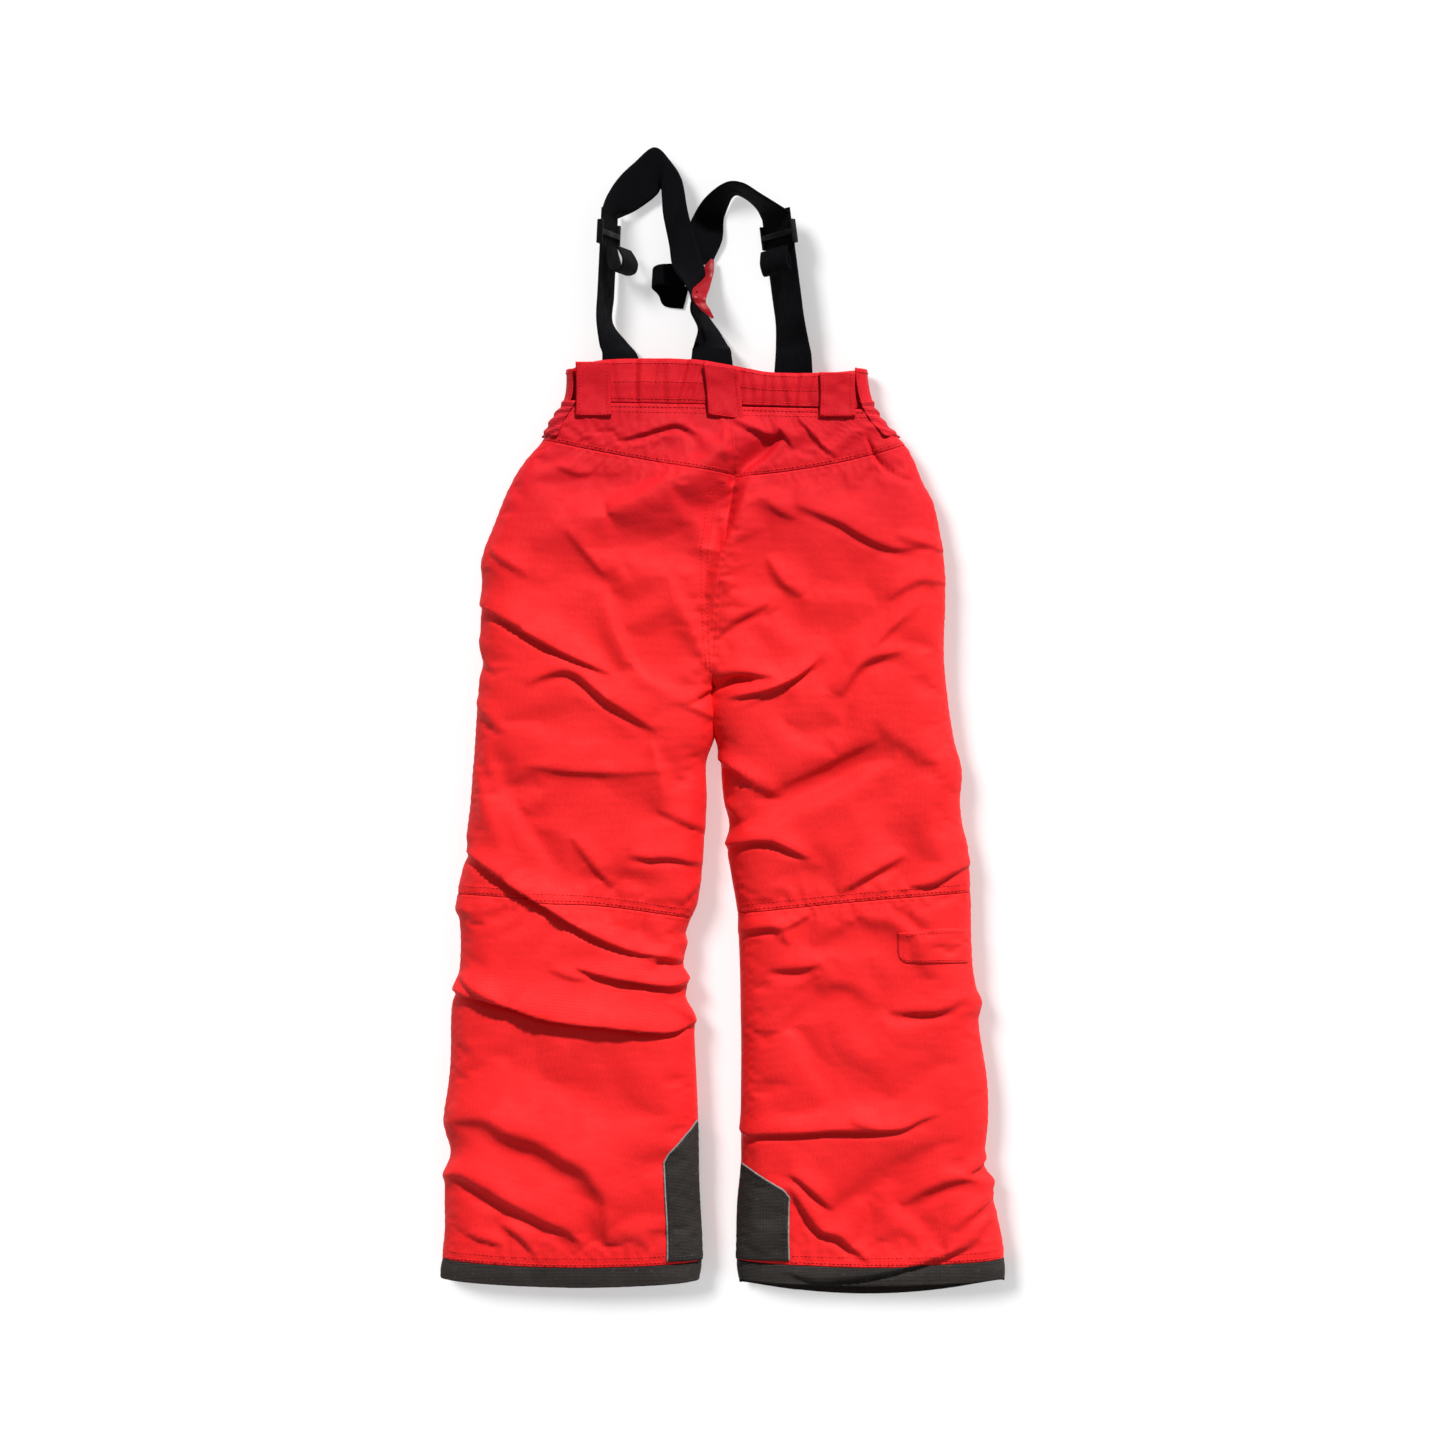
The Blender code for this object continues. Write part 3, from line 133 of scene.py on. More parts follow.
# Folds in millimetres: height, width of the steep side (on the right of the route), width of the gentle
# side, how far the crest leans over as a share of its height, and the route.
FOLDS = {
    "left": (
        (-3.4, 9, 9, 0.0, ((0, 140), (-5, 110), (-9, 84), (-10, 60))),
        (3.0, 3, 9, 0.2, ((-105, 282), (-78, 290), (-58, 296), (-43, 297), (-21, 287))),
        (2.2, 3, 8, 0.0, ((-165, 255), (-143, 248), (-128, 248))),
        (10.5, 27, 15, 0.0, ((-112, 207), (-51, 236), (-16, 254), (9, 280), (34, 304))),
        (3.5, 22, 15, 0.0, ((-190, 178), (-133, 200), (-60, 222))),
        (2.6, 4, 9, 0.0, ((-155, 192), (-133, 168), (-114, 144))),
        (3.0, 3, 8, 0.0, ((-232, 172), (-212, 158), (-192, 144))),
        (5.5, 3, 13, 0.4, ((-256, 124), (-236, 115), (-210, 102), (-188, 88), (-153, 69), (-108, 48))),
        (4.5, 4, 13, 0.1, ((-196, 38), (-153, 52), (-113, 24), (-64, -9))),
        (2.5, 4, 8, 0.0, ((-246, 88), (-236, 64), (-224, 48))),
        (2.5, 4, 8, 0.0, ((-248, 24), (-232, 6), (-216, -10))),
        (3.2, 5, 10, 0.0, ((-54, 30), (-83, 49), (-103, 86), (-118, 137))),
        (3.0, 5, 10, 0.0, ((-16, 57), (-33, 103), (-58, 152))),
        (3.0, 2.6, 7, 0.2, ((-40, 16), (-21, 29), (-6, 36))),
        (3.0, 3, 7, 0.0, ((-38, 17), (-22, 10), (-6, 3))),
        (-3.5, 10, 13, 0.0, ((-228, -12), (-212, -64), (-185, -110), (-162, -148))),
        (2.6, 5, 10, 0.0, ((-212, -134), (-230, -90), (-246, -38))),
        (1.4, 3, 8, 0.0, ((-195, -44), (-120, -50), (-40, -48))),
        (2.6, 5, 9, 0.0, ((-46, -90), (-62, -48), (-71, -18))),
        (2.6, 4, 8, 0.0, ((-150, -112), (-128, -140), (-108, -164))),
        (3.2, 3, 9, 0.2, ((-94, -132), (-72, -134), (-53, -133), (-18, -142))),
        (2.6, 3, 8, 0.0, ((-66, -86), (-26, -104), (-12, -110))),
        (2.5, 3, 7, 0.0, ((-44, -183), (-20, -156))),
        (7.0, 3, 14, 0.5, ((-280, -118), (-256, -127), (-235, -140), (-208, -160), (-177, -179), (-150, -196), (-120, -213),
                             (-85, -227), (-58, -231))),
        (2.2, 3, 8, 0.0, ((-172, -245), (-147, -253), (-130, -254))),
        (6.0, 3, 9, 0.6, ((-146, -243), (-120, -249), (-82, -255), (-47, -260), (-22, -252))),
        (4.5, 3, 6, 0.3, ((-72, -246), (-62, -232), (-36, -240))),
        (9.5, 3, 16, 0.7, ((-300, -262), (-272, -266), (-244, -270), (-214, -276), (-181, -287), (-154, -292),
                              (-114, -297), (-75, -303), (-50, -305), (-20, -296))),
        (4.0, 3, 7, 0.3, ((-260, -251), (-235, -265), (-210, -277))),
        (4.0, 3, 7, 0.2, ((-52, -278), (-32, -294), (-26, -312))),
        (7.5, 11, 22, 0.1, ((-296, -403), (-276, -399), (-253, -392), (-233, -392), (-213, -403), (-181, -414), (-154, -430),
                           (-136, -440), (-124, -456), (-114, -476), (-112, -520))),
        (6.0, 7, 14, 0.2, ((-300, -457), (-284, -455), (-262, -448), (-249, -452), (-221, -468), (-181, -489), (-154, -503),
                           (-136, -521))),
        (2.2, 3, 7, 0.0, ((-254, -509), (-235, -515), (-216, -520))),
        (2.6, 3, 8, 0.0, ((-220, -500), (-201, -511), (-185, -531))),
    ),
    "right": (
        (-3.2, 2.2, 2.4, 0.0, ((142, 290), (152, 265), (167, 248), (192, 237))),
        (-8.5, 5, 10, 0.0, ((8, 235), (26, 256), (40, 267), (60, 286))),
        (-3.2, 3.5, 3.5, 0.0, ((11, 254), (10, 232), (7, 208), (4, 180))),
        (3.6, 3, 9, 0.2, ((11, 302), (48, 287), (58, 292), (73, 272))),
        (3.0, 4, 8, 0.0, ((76, 304), (97, 282), (116, 264))),
        (-7.0, 15, 13, 0.0, ((4, 268), (-2, 232), (-6, 205), (-8, 172))),
        (6.0, 7, 14, 0.1, ((30, 246), (26, 232), (15, 203), (5, 173), (-4, 141), (-9, 92))),
        (2.4, 4, 9, 0.0, ((34, 227), (53, 213), (73, 201))),
        (3.2, 4, 14, 0.2, ((70, 218), (85, 212), (117, 200), (137, 188), (157, 178), (177, 173), (202, 177))),
        (3.0, 3, 9, 0.0, ((172, 186), (200, 177), (224, 170))),
        (3.0, 4, 9, 0.0, ((163, 122), (194, 141), (226, 138))),
        (3.2, 4, 10, 0.0, ((148, 74), (167, 93), (196, 119))),
        (4.2, 5, 13, 0.1, ((116, 26), (132, 54), (152, 66), (181, 71))),
        (3.2, 5, 9, 0.0, ((45, 165), (60, 141), (80, 125))),
        (3.6, 4, 11, 0.1, ((-8, 82), (10, 101), (46, 119))),
        (4.2, 3, 8, 0.3, ((-16, 28), (5, 45), (18, 50), (56, 47))),
        (-7.0, 5, 5, 0.0, ((-20, 28), (-8, 36), (8, 41), (34, 43))),
        (5.2, 3, 10, 0.4, ((6, 24), (33, 31), (60, 41), (85, 56), (94, 66))),
        (3.0, 4, 8, 0.0, ((24, 17), (60, 39), (95, 59))),
        (4.2, 3, 7, 0.3, ((-14, -31), (-2, -36), (11, -43), (20, -49), (31, -62))),
        (3.0, 5, 9, 0.0, ((8, -45), (34, -60), (60, -72))),
        (3.0, 3, 7, 0.0, ((4, -78), (19, -100))),
        (-7.0, 12, 20, 0.0, ((30, -108), (42, -96), (68, -77), (95, -64), (122, -51), (141, -41), (172, -35))),
        (3.6, 6, 14, 0.0, ((36, -74), (68, -56), (95, -43), (122, -29), (156, -18))),
        (5.4, 3, 11, 0.3, ((-10, -126), (6, -122), (34, -116), (51, -117), (68, -125), (88, -136))),
        (4.0, 4, 10, 0.1, ((116, -170), (141, -152), (183, -131))),
        (3.6, 3, 9, 0.2, ((187, -163), (210, -159), (227, -148), (252, -140))),
        (3.6, 3, 8, 0.2, ((14, -211), (34, -205), (53, -204), (67, -222))),
        (2.6, 3, 8, 0.0, ((55, -207), (72, -199), (88, -190))),
        (3.0, 4, 10, 0.1, ((49, -245), (76, -243), (99, -239))),
        (3.6, 4, 10, 0.1, ((166, -287), (195, -286), (218, -284), (240, -272))),
        (5.2, 3, 13, 0.4, ((2, -398), (10, -401), (26, -410), (47, -407), (73, -406), (111, -403), (142, -403), (176, -402),
                             (196, -394), (216, -388))),
        (2.2, 3, 8, 0.0, ((126, -393), (140, -398), (156, -402))),
        (4.0, 3, 9, 0.2, ((64, -448), (77, -453), (93, -466), (111, -484))),
        (4.6, 4, 10, 0.2, ((68, -460), (87, -488), (99, -503), (116, -509), (130, -521), (148, -536))),
        (4.0, 3, 7, 0.2, ((243, -448), (254, -441), (268, -433))),
        (4.0, 6, 11, 0.1, ((178, -480), (205, -462), (235, -452), (262, -457))),
        (4.0, 4, 9, 0.1, ((222, -524), (233, -501), (247, -488), (277, -467))),
        (3.2, 4, 9, 0.0, ((211, -536), (243, -519), (259, -501), (276, -489))),
        (4.2, 3, 13, 0.2, ((62, -545), (83, -552), (107, -553), (156, -547), (196, -537), (223, -528), (248, -515))),
    ),
}

# Pleats of the gathered waist: x in metres where a pleat runs down, and how far it leans per metre of y.
PLEATS = (
    (-0.108, 0.1), (-0.086, 0.0), (-0.069, -0.15), (-0.058, 0.05), (-0.042, -0.25), (-0.029, -0.35),
    (0.019, 0.0), (0.028, 0.15), (0.040, -0.1), (0.048, 0.05), (0.060, 0.2), (0.074, -0.1), (0.087, -0.25),
    (0.134, 0.1),
)


def smooth(low, high, value):
    t = np.clip((value - low) / (high - low), 0.0, 1.0)
    return t * t * (3.0 - 2.0 * t)


def quarter_round(share, power=2.0):
    """Height of a rounded edge, 0 at the edge and 1 once it has levelled out; more power, a squarer corner."""
    return np.clip(1.0 - (1.0 - np.clip(share, 0.0, 1.0)) ** power, 0.0, 1.0) ** (1.0 / power)


def bump_at(distance, width):
    return np.exp(-((distance / width) ** 2))


def value_at(outline, key):
    """The outline's second value where its first is key, on a smooth curve through its points."""
    points = np.array(sorted(outline))
    at, value = points[:, 0], points[:, 1]
    key = np.clip(key, at[0], at[-1])
    slope = np.empty(len(at))
    slope[1:-1] = (value[2:] - value[:-2]) / (at[2:] - at[:-2])
    slope[0] = (value[1] - value[0]) / (at[1] - at[0])
    slope[-1] = (value[-1] - value[-2]) / (at[-1] - at[-2])
    i = np.clip(np.searchsorted(at, key, side="right") - 1, 0, len(at) - 2)
    span = at[i + 1] - at[i]
    t = (key - at[i]) / span
    start = (2 * t**3 - 3 * t**2 + 1) * value[i] + (t**3 - 2 * t**2 + t) * span * slope[i]
    return start + (3 * t**2 - 2 * t**3) * value[i + 1] + (t**3 - t**2) * span * slope[i + 1]


def bowed(seam, share):
    """y of a cross seam at a share of the way over, on the parabola through its three values."""
    outer, middle, inner = seam
    return (
        outer * (1 - share) * (1 - 2 * share) + 4 * middle * share * (1 - share) + inner * share * (2 * share - 1)
    )


def shifted(seam, distance):
    return tuple(y + distance for y in seam)


def spline(points, t):
    """Points at every 0 <= t <= 1 on the Catmull-Rom curve through the points."""
    points = np.asarray(points, float)
    t = np.atleast_1d(t)
    last = len(points) - 1
    i = np.minimum((t * last).astype(int), last - 1)
    f = (t * last - i)[:, None]
    a, b, c, d = (points[np.clip(i + k, 0, last)] for k in (-1, 0, 1, 2))
    return 0.5 * (2 * b + (c - a) * f + (2 * a - 5 * b + 4 * c - d) * f**2 + (3 * b - a - 3 * c + d) * f**3)


def noise(x, y, cell, seed):
    """Smooth noise from -1 to 1 whose lumps are about one cell across."""
    lattice = np.random.default_rng(seed).uniform(-1.0, 1.0, (128, 128))
    u, v = x / cell + 40.0, y / cell + 80.0
    i, j = np.floor(u).astype(int), np.floor(v).astype(int)
    f, g = u - i, v - j
    f, g = f * f * (3 - 2 * f), g * g * (3 - 2 * g)
    near = lattice[i % 128, j % 128] * (1 - f) + lattice[(i + 1) % 128, j % 128] * f
    far = lattice[i % 128, (j + 1) % 128] * (1 - f) + lattice[(i + 1) % 128, (j + 1) % 128] * f
    return near * (1 - g) + far * g


def fold(x, y, height, steep, gentle, lean, route):
    """Height of one fold over the points, and the pull of its leaning crest in x and y."""
    line = spline(np.array(route, float) / 1000.0, np.linspace(0.0, 1.0, 5 * len(route)))
    height, steep, gentle = height / 1000.0, steep / 1000.0, FOLD_SPREAD * gentle / 1000.0
    reach = 2.6 * max(steep, gentle)
    rise, pull_x, pull_y = np.zeros_like(x), np.zeros_like(x), np.zeros_like(x)
    low, high = line.min(0) - reach, line.max(0) + reach
    near = (x > low[0]) & (x < high[0]) & (y > low[1]) & (y < high[1])
    if not near.any():
        return rise, pull_x, pull_y
    px, py = x[near], y[near]
    best, side, along = np.full(px.shape, 1e9), np.zeros_like(px), np.zeros_like(px)
    right_x, right_y = np.zeros_like(px), np.zeros_like(px)
    lengths = np.linalg.norm(np.diff(line, axis=0), axis=1)
    before = np.concatenate([[0.0], np.cumsum(lengths)])
    for k in range(len(line) - 1):
        step = line[k + 1] - line[k]
        share = np.clip(((px - line[k, 0]) * step[0] + (py - line[k, 1]) * step[1]) / (step @ step), 0, 1)
        dx, dy = px - line[k, 0] - share * step[0], py - line[k, 1] - share * step[1]
        distance = np.hypot(dx, dy)
        closer = distance < best
        best = np.where(closer, distance, best)
        side = np.where(closer, np.sign(step[0] * dy - step[1] * dx), side)
        along = np.where(closer, (before[k] + share * lengths[k]) / before[-1], along)
        right_x = np.where(closer, step[1] / lengths[k], right_x)
        right_y = np.where(closer, -step[0] / lengths[k], right_y)
    ends = np.sin(pi * np.clip(along, 0.0, 1.0)) ** 0.7
    width = np.where(side > 0, gentle, steep) * (0.45 + 0.55 * ends)
    crest = bump_at(best, width) * ends * bump_at(np.where((along > 0) & (along < 1), 0.0, best), 0.006)
    foot = np.where(side < 0, bump_at(best - 2.0 * steep, 1.1 * steep), 0.0) * ends
    rise[near] = height * (crest - 0.30 * foot * (lean > 0))
    pull_x[near] = right_x * lean * abs(height) * crest
    pull_y[near] = right_y * lean * abs(height) * crest
    return rise, pull_x, pull_y


def gathers(x, y):
    """Pleats that the elastic draws in the waistband, fading out down the yoke."""
    fade = smooth(0.284, 0.318, y)
    total = np.zeros_like(x)
    for n, (middle, lean) in enumerate(PLEATS):
        distance = x - middle - lean * (0.335 - y)
        reach = smooth(0.284 + 0.005 * (n * 7 % 5), 0.330, y)
        depth = 0.0006 + 0.0014 * (n * 5 % 7) / 7
        total += reach * depth * (0.5 * bump_at(distance - 0.0055, 0.0040) - bump_at(distance, 0.0034))
    return total * fade + 0.0009 * fade * noise(x, y * 0.35, 0.009, 5)


def relief(side, x, y):
    """Height of the shell over the smooth section, and the pull of its folds."""
    rise, pull_x, pull_y = gathers(x, y), np.zeros_like(x), np.zeros_like(x)
    for owner, folds in FOLDS.items():
        shared = 1.0 if owner == side else smooth(0.030, 0.050, y)
        for one in folds:
            up, across, along = fold(x, y, *one)
            rise += FOLD_FULLNESS * shared * up
            pull_x += shared * across
            pull_y += shared * along
    warp = 0.012 * noise(x, y, 0.040, 2)
    rise += 0.0011 * noise(x, y, 0.080, 1) + 0.0004 * noise(x + warp, y + warp, 0.022, 3)
    facets = np.abs(noise(0.8 * x + warp, y - 0.5 * x, 0.062, 4)) + 0.5 * np.abs(noise(x - warp, y + 0.4 * x, 0.034, 6))
    rise += 0.0019 * (facets - 0.4) * smooth(-0.4, 0.5, noise(x, y, 0.090, 7))
    return rise, pull_x, pull_y


def section(side, layer, share, y):
    """Point, outward normal and level of a leg's section; level is 0 at a side seam and 1 on the flat."""
    outer, inner = value_at(OUTSEAM[side], y), value_at(INSEAM[side], y)
    inner = inner + INWARD[side] * (0.0003 * (y > CROTCH_Y) + 0.0022 * bump_at(y - 0.022, 0.030))
    x = outer + (inner - outer) * share
    rounding = value_at(EDGE_ROUND, y)
    from_outer = quarter_round(np.abs(x - outer) / rounding, SQUARENESS)
    from_inner = quarter_round(np.abs(inner - x) / rounding, SQUARENESS)
    leg = 1.0 - smooth(0.020, 0.058, y)
    level = from_outer * (1.0 + leg * (from_inner - 1.0))
    outwards = -INWARD[side] * (np.sqrt(1 - from_outer**2) - leg * np.sqrt(1 - from_inner**2))
    if layer == "back":
        crown = 0.0020 * leg * np.sin(pi * share)
        z = EDGE_HEIGHT + (value_at(TOP_HEIGHT, y) + crown - EDGE_HEIGHT) * level
        up = level
    else:
        z = EDGE_HEIGHT * (1.0 - level) + np.maximum(under_relief(x, y), guard_relief(side, x, y)) * level
        up = -level
    normal = np.stack([outwards, np.zeros_like(x), up], -1)
    normal /= np.linalg.norm(normal, axis=-1, keepdims=True) + 1e-9
    return np.stack([x, y + 0.0 * x, z], -1), normal, level


def distance_to_line(x, y, line):
    (ax, ay), (bx, by) = line
    length = (bx - ax) ** 2 + (by - ay) ** 2
    share = np.clip(((x - ax) * (bx - ax) + (y - ay) * (by - ay)) / length, 0, 1)
    return np.hypot(x - ax - share * (bx - ax), y - ay - share * (by - ay))


POCKET_ZIPS = {"left": ((-0.118, 0.288), (-0.172, 0.188)), "right": ((0.110, 0.285), (0.158, 0.184))}


def under_relief(x, y):
    """How far the front stands off the ground, over what is sewn on it."""
    waist = WAIST_RELIEF * smooth(0.262, 0.288, y)
    fly = WAIST_RELIEF * (1.0 - smooth(0.036, 0.079, np.abs(x))) * smooth(0.085, 0.135, y)
    total = np.maximum(waist, fly)
    for line in POCKET_ZIPS.values():
        total = np.maximum(total, 0.0062 * (1.0 - smooth(0.036, 0.078, distance_to_line(x, y, line))))
    return total


def guard_relief(side, x, y):
    """How far the front of a leg stands off the ground over its scuff guard."""
    across = np.abs(x - value_at(INSEAM[side], y)) - GUARD_WIDTH[side]
    above = y - GUARD_TOP[side][1]
    return 0.0026 * (1.0 - smooth(0.002, 0.014, across)) * (1.0 - smooth(0.002, 0.014, above))


SETTLED = {}  # what the simulation adds for each side: shares, heights along y and the move at each


def settled_move(side, share, y):
    if side not in SETTLED:
        return 0.0
    shares, ys, moves = SETTLED[side]
    u = np.interp(share, shares, np.arange(len(shares)))
    v = np.interp(-y, -ys, np.arange(len(ys)))
    i, j = np.minimum(u.astype(int), len(shares) - 2), np.minimum(v.astype(int), len(ys) - 2)
    f, g = (u - i)[..., None], (v - j)[..., None]
    near = moves[j, i] * (1 - f) + moves[j, i + 1] * f
    far = moves[j + 1, i] * (1 - f) + moves[j + 1, i + 1] * f
    return near * (1 - g) + far * g


def surface(side, layer, share, y, lift=0.0):
    """Points on the outside of the shell, lifted off it by lift."""
    share, y = np.broadcast_arrays(np.asarray(share, float), np.asarray(y, float))
    point, normal, level = section(side, layer, share, y)
    rise, pull_x, pull_y = relief(side, point[..., 0], point[..., 1])
    rise = rise * (0.55 + 0.45 * level)
    amount = rise if layer == "back" else rise * (1.0 - smooth(0.0, 0.5, level))
    still = 1.0 if layer == "back" else (1.0 - smooth(0.0, 0.5, level))
    point = point + normal * (amount + lift)[..., None]
    point = point + np.stack([pull_x, pull_y, np.zeros_like(pull_x)], -1) * (level * still)[..., None]
    moved = settled_move(side, share, y)
    if np.ndim(moved):
        point = point + moved * (np.ones_like(level) * still)[..., None]
    point[..., 2] = np.clip(point[..., 2], 0.0006, HIGHEST)
    return point


def share_of(side, x, y):
    outer, inner = value_at(OUTSEAM[side], y), value_at(INSEAM[side], y)
    return (x - outer) / (inner - outer)


# ---------------------------------------------------------------- meshes


def make_object(name, vertices, faces, look, flat=None):
    mesh = bpy.data.meshes.new(name)
    mesh.from_pydata(vertices.reshape(-1, 3).tolist(), [], faces)
    mesh.update()
    if flat is not None:
        layer = mesh.attributes.new("flat", "FLOAT_VECTOR", "POINT")
        full = np.zeros((len(mesh.vertices), 3), np.float32)
        full[:, : flat.shape[-1]] = flat.reshape(-1, flat.shape[-1])
        layer.data.foreach_set("vector", full.ravel())
    mesh.shade_smooth()
    obj = bpy.data.objects.new(name, mesh)
    mesh.materials.append(look)
    bpy.context.scene.collection.objects.link(obj)
    return obj


def grid_faces(rows, columns, ring=False, turned=False):
    j, i = np.meshgrid(np.arange(rows - 1), np.arange(columns if ring else columns - 1), indexing="ij")
    after = (i + 1) % columns
    quads = np.stack([j * columns + i, j * columns + after, (j + 1) * columns + after, (j + 1) * columns + i], -1)
    quads = quads.reshape(-1, 4)
    return (quads[:, ::-1] if turned else quads).tolist()


def cloth(name, points, look, outward, thickness=SHELL, flat=None, offset=-1.0):
    """A sheet from a grid of points (rows, columns, 3), thickened on the inner side of its outward face."""
    rows, columns = points.shape[:2]
    across = points[:-1, 1:] - points[:-1, :-1]
    down = points[1:, :-1] - points[:-1, :-1]
    facing = (np.cross(across, down).sum((0, 1)) * np.array(outward)).sum()
    obj = make_object(name, points, grid_faces(rows, columns, turned=facing < 0), look, flat)
    add_thickness(obj, thickness, offset)
    return obj


def add_thickness(obj, thickness, offset=-1.0):
    solid = obj.modifiers.new("thickness", "SOLIDIFY")
    solid.thickness = thickness
    solid.offset = offset
    solid.use_even_offset = False


def declare(obj, points, body=None):
    """Measures a sheet's width and length along the grid and its area, and attaches it to its body if one is given;
    nothing uses the measures.
    """
    width = np.linalg.norm(np.diff(points, axis=1), axis=-1).sum(1).max()
    length = np.linalg.norm(np.diff(points, axis=0), axis=-1).sum(0).max()
    a, b = points[:-1, 1:] - points[:-1, :-1], points[1:, :-1] - points[:-1, :-1]
    area = np.linalg.norm(np.cross(a, b), axis=-1).sum()
    area = float(np.clip(area, 0.31 * width * length, width * length))
    if body:
        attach(obj, body)


def shares_across(width, rounding, turn, step):
    """Shares of the way over for the columns, closer together where the section rounds over."""
    edge = min(rounding / width, 0.45)
    start = edge * (1 - np.cos(pi / 2 * np.linspace(0, 1, turn + 1) ** 1.3))
    middle = np.linspace(edge, 1 - edge, max(3, round((1 - 2 * edge) * width / step)))
    return np.concatenate([start[:-1], middle, (1 - start[::-1])[1:]])


def shares_down(length, step):
    """Shares of the way down for the rows, closer together beside the two seams."""
    start = np.array([0.0, 0.0007, 0.0015, 0.0025, 0.0040]) / length
    middle = np.linspace(start[-1], 1 - start[-1], max(2, round(length / step)))
    return np.concatenate([start[:-1], middle, (1 - start[::-1])[1:]])


def seam_dip(distance, along):
    """Depth of the shell beside a sewn seam: the seam's groove, the stitched line and small puckers."""
    groove = -0.0005 * bump_at(distance, 0.0010) - 0.0004 * bump_at(distance, 0.006)
    stitched = -0.0003 * bump_at(distance - 0.0034, 0.0011)
    ripple = 0.0003 * np.sin(2 * pi * along / 0.0085 + 4 * noise(along, distance, 0.03, 11))
    return groove + stitched + ripple * np.exp(-distance / 0.008)


# ---------------------------------------------------------------- materials


def new_look(name):
    made = bpy.data.materials.new(name)
    made.use_nodes = True
    return made, made.node_tree, made.node_tree.nodes["Principled BSDF"]


def put(tree, kind, inputs=(), **settings):
    """A node with its settings, and its inputs given by number or name as a value or another node's output."""
    made = tree.nodes.new(kind)
    for key, value in settings.items():
        setattr(made, key, value)
    for key, value in dict(inputs).items():
        if isinstance(value, bpy.types.NodeSocket):
            tree.links.new(value, made.inputs[key])
        else:
            made.inputs[key].default_value = value
    return made


def mixed(tree, share, first, second):
    made = put(tree, "ShaderNodeMix", data_type="RGBA")
    tree.links.new(share, made.inputs[0])
    for socket, value in ((made.inputs[6], first), (made.inputs[7], second)):
        if isinstance(value, bpy.types.NodeSocket):
            tree.links.new(value, socket)
        else:
            socket.default_value = (*value, 1.0)
    return made.outputs[2]


def ranged(tree, value, low, high, to_low=0.0, to_high=1.0):
    inputs = {0: value, 1: low, 2: high, 3: to_low, 4: to_high}
    return put(tree, "ShaderNodeMapRange", inputs, interpolation_type="SMOOTHSTEP").outputs[0]


def fabric(name, colour, second, roughness, pitch, weave=0.35, crinkle=0.5, sheen=0.0, waist=None, worn=None,
           ribs=None, shine=0.12):
    """Woven cloth: a fine weave, soft crinkles, uneven colour, and optionally painted shade that darkens it towards the
    waist, wear or ribs.
    """
    made, tree, shader = new_look(name)
    where = put(tree, "ShaderNodeAttribute", attribute_name="flat").outputs["Vector"]
    lumps = put(tree, "ShaderNodeTexNoise", {"Vector": where, "Scale": 16.0, "Detail": 3.0}).outputs["Fac"]
    grain = put(tree, "ShaderNodeTexNoise", {"Vector": where, "Scale": 620.0, "Detail": 2.0}).outputs["Fac"]
    crumple = put(
        tree, "ShaderNodeTexNoise", {"Vector": where, "Scale": 85.0, "Detail": 4.0, "Roughness": 0.55}
    ).outputs["Fac"]
    tone = mixed(tree, ranged(tree, lumps, 0.38, 0.66), colour, second)
    # painted shade: the colour darkens towards the waist, standing in for light falling off there
    if waist:
        parts = put(tree, "ShaderNodeSeparateXYZ", {0: where})
        tone = mixed(tree, ranged(tree, parts.outputs[1], 0.080, 0.335), tone, waist)
    dark = tuple(0.72 * c for c in colour)
    tone = mixed(tree, ranged(tree, grain, 0.44, 0.30, 0.0, 0.5), tone, dark)
    if worn:
        specks = put(tree, "ShaderNodeTexNoise", {"Vector": where, "Scale": 210.0, "Detail": 5.0}).outputs["Fac"]
        tone = mixed(tree, ranged(tree, specks, 0.60, 0.74, 0.0, 0.8), tone, worn)
    tree.links.new(tone, shader.inputs["Base Color"])
    tree.links.new(ranged(tree, crumple, 0.3, 0.7, roughness - 0.06, roughness + 0.08), shader.inputs["Roughness"])
    warp = put(tree, "ShaderNodeTexWave", {"Vector": where, "Scale": 0.314 / pitch}, bands_direction="X")
    weft_pitch = pitch if ribs is None else ribs
    weft = put(tree, "ShaderNodeTexWave", {"Vector": where, "Scale": 0.314 / weft_pitch}, bands_direction="Y")
    threads = put(tree, "ShaderNodeMath", {0: warp.outputs["Fac"], 1: weft.outputs["Fac"]}, operation="ADD")
    fine = put(
        tree, "ShaderNodeBump", {"Height": threads.outputs[0], "Strength": weave, "Distance": 0.35 * pitch}
    )
    bumped = put(
        tree,
        "ShaderNodeBump",
        {"Height": crumple, "Strength": crinkle, "Distance": 0.0024, "Normal": fine.outputs["Normal"]},
    )
    tree.links.new(bumped.outputs["Normal"], shader.inputs["Normal"])
    shader.inputs["Sheen Weight"].default_value = sheen
    shader.inputs["Sheen Roughness"].default_value = 0.5
    shader.inputs["Specular IOR Level"].default_value = shine
    return made


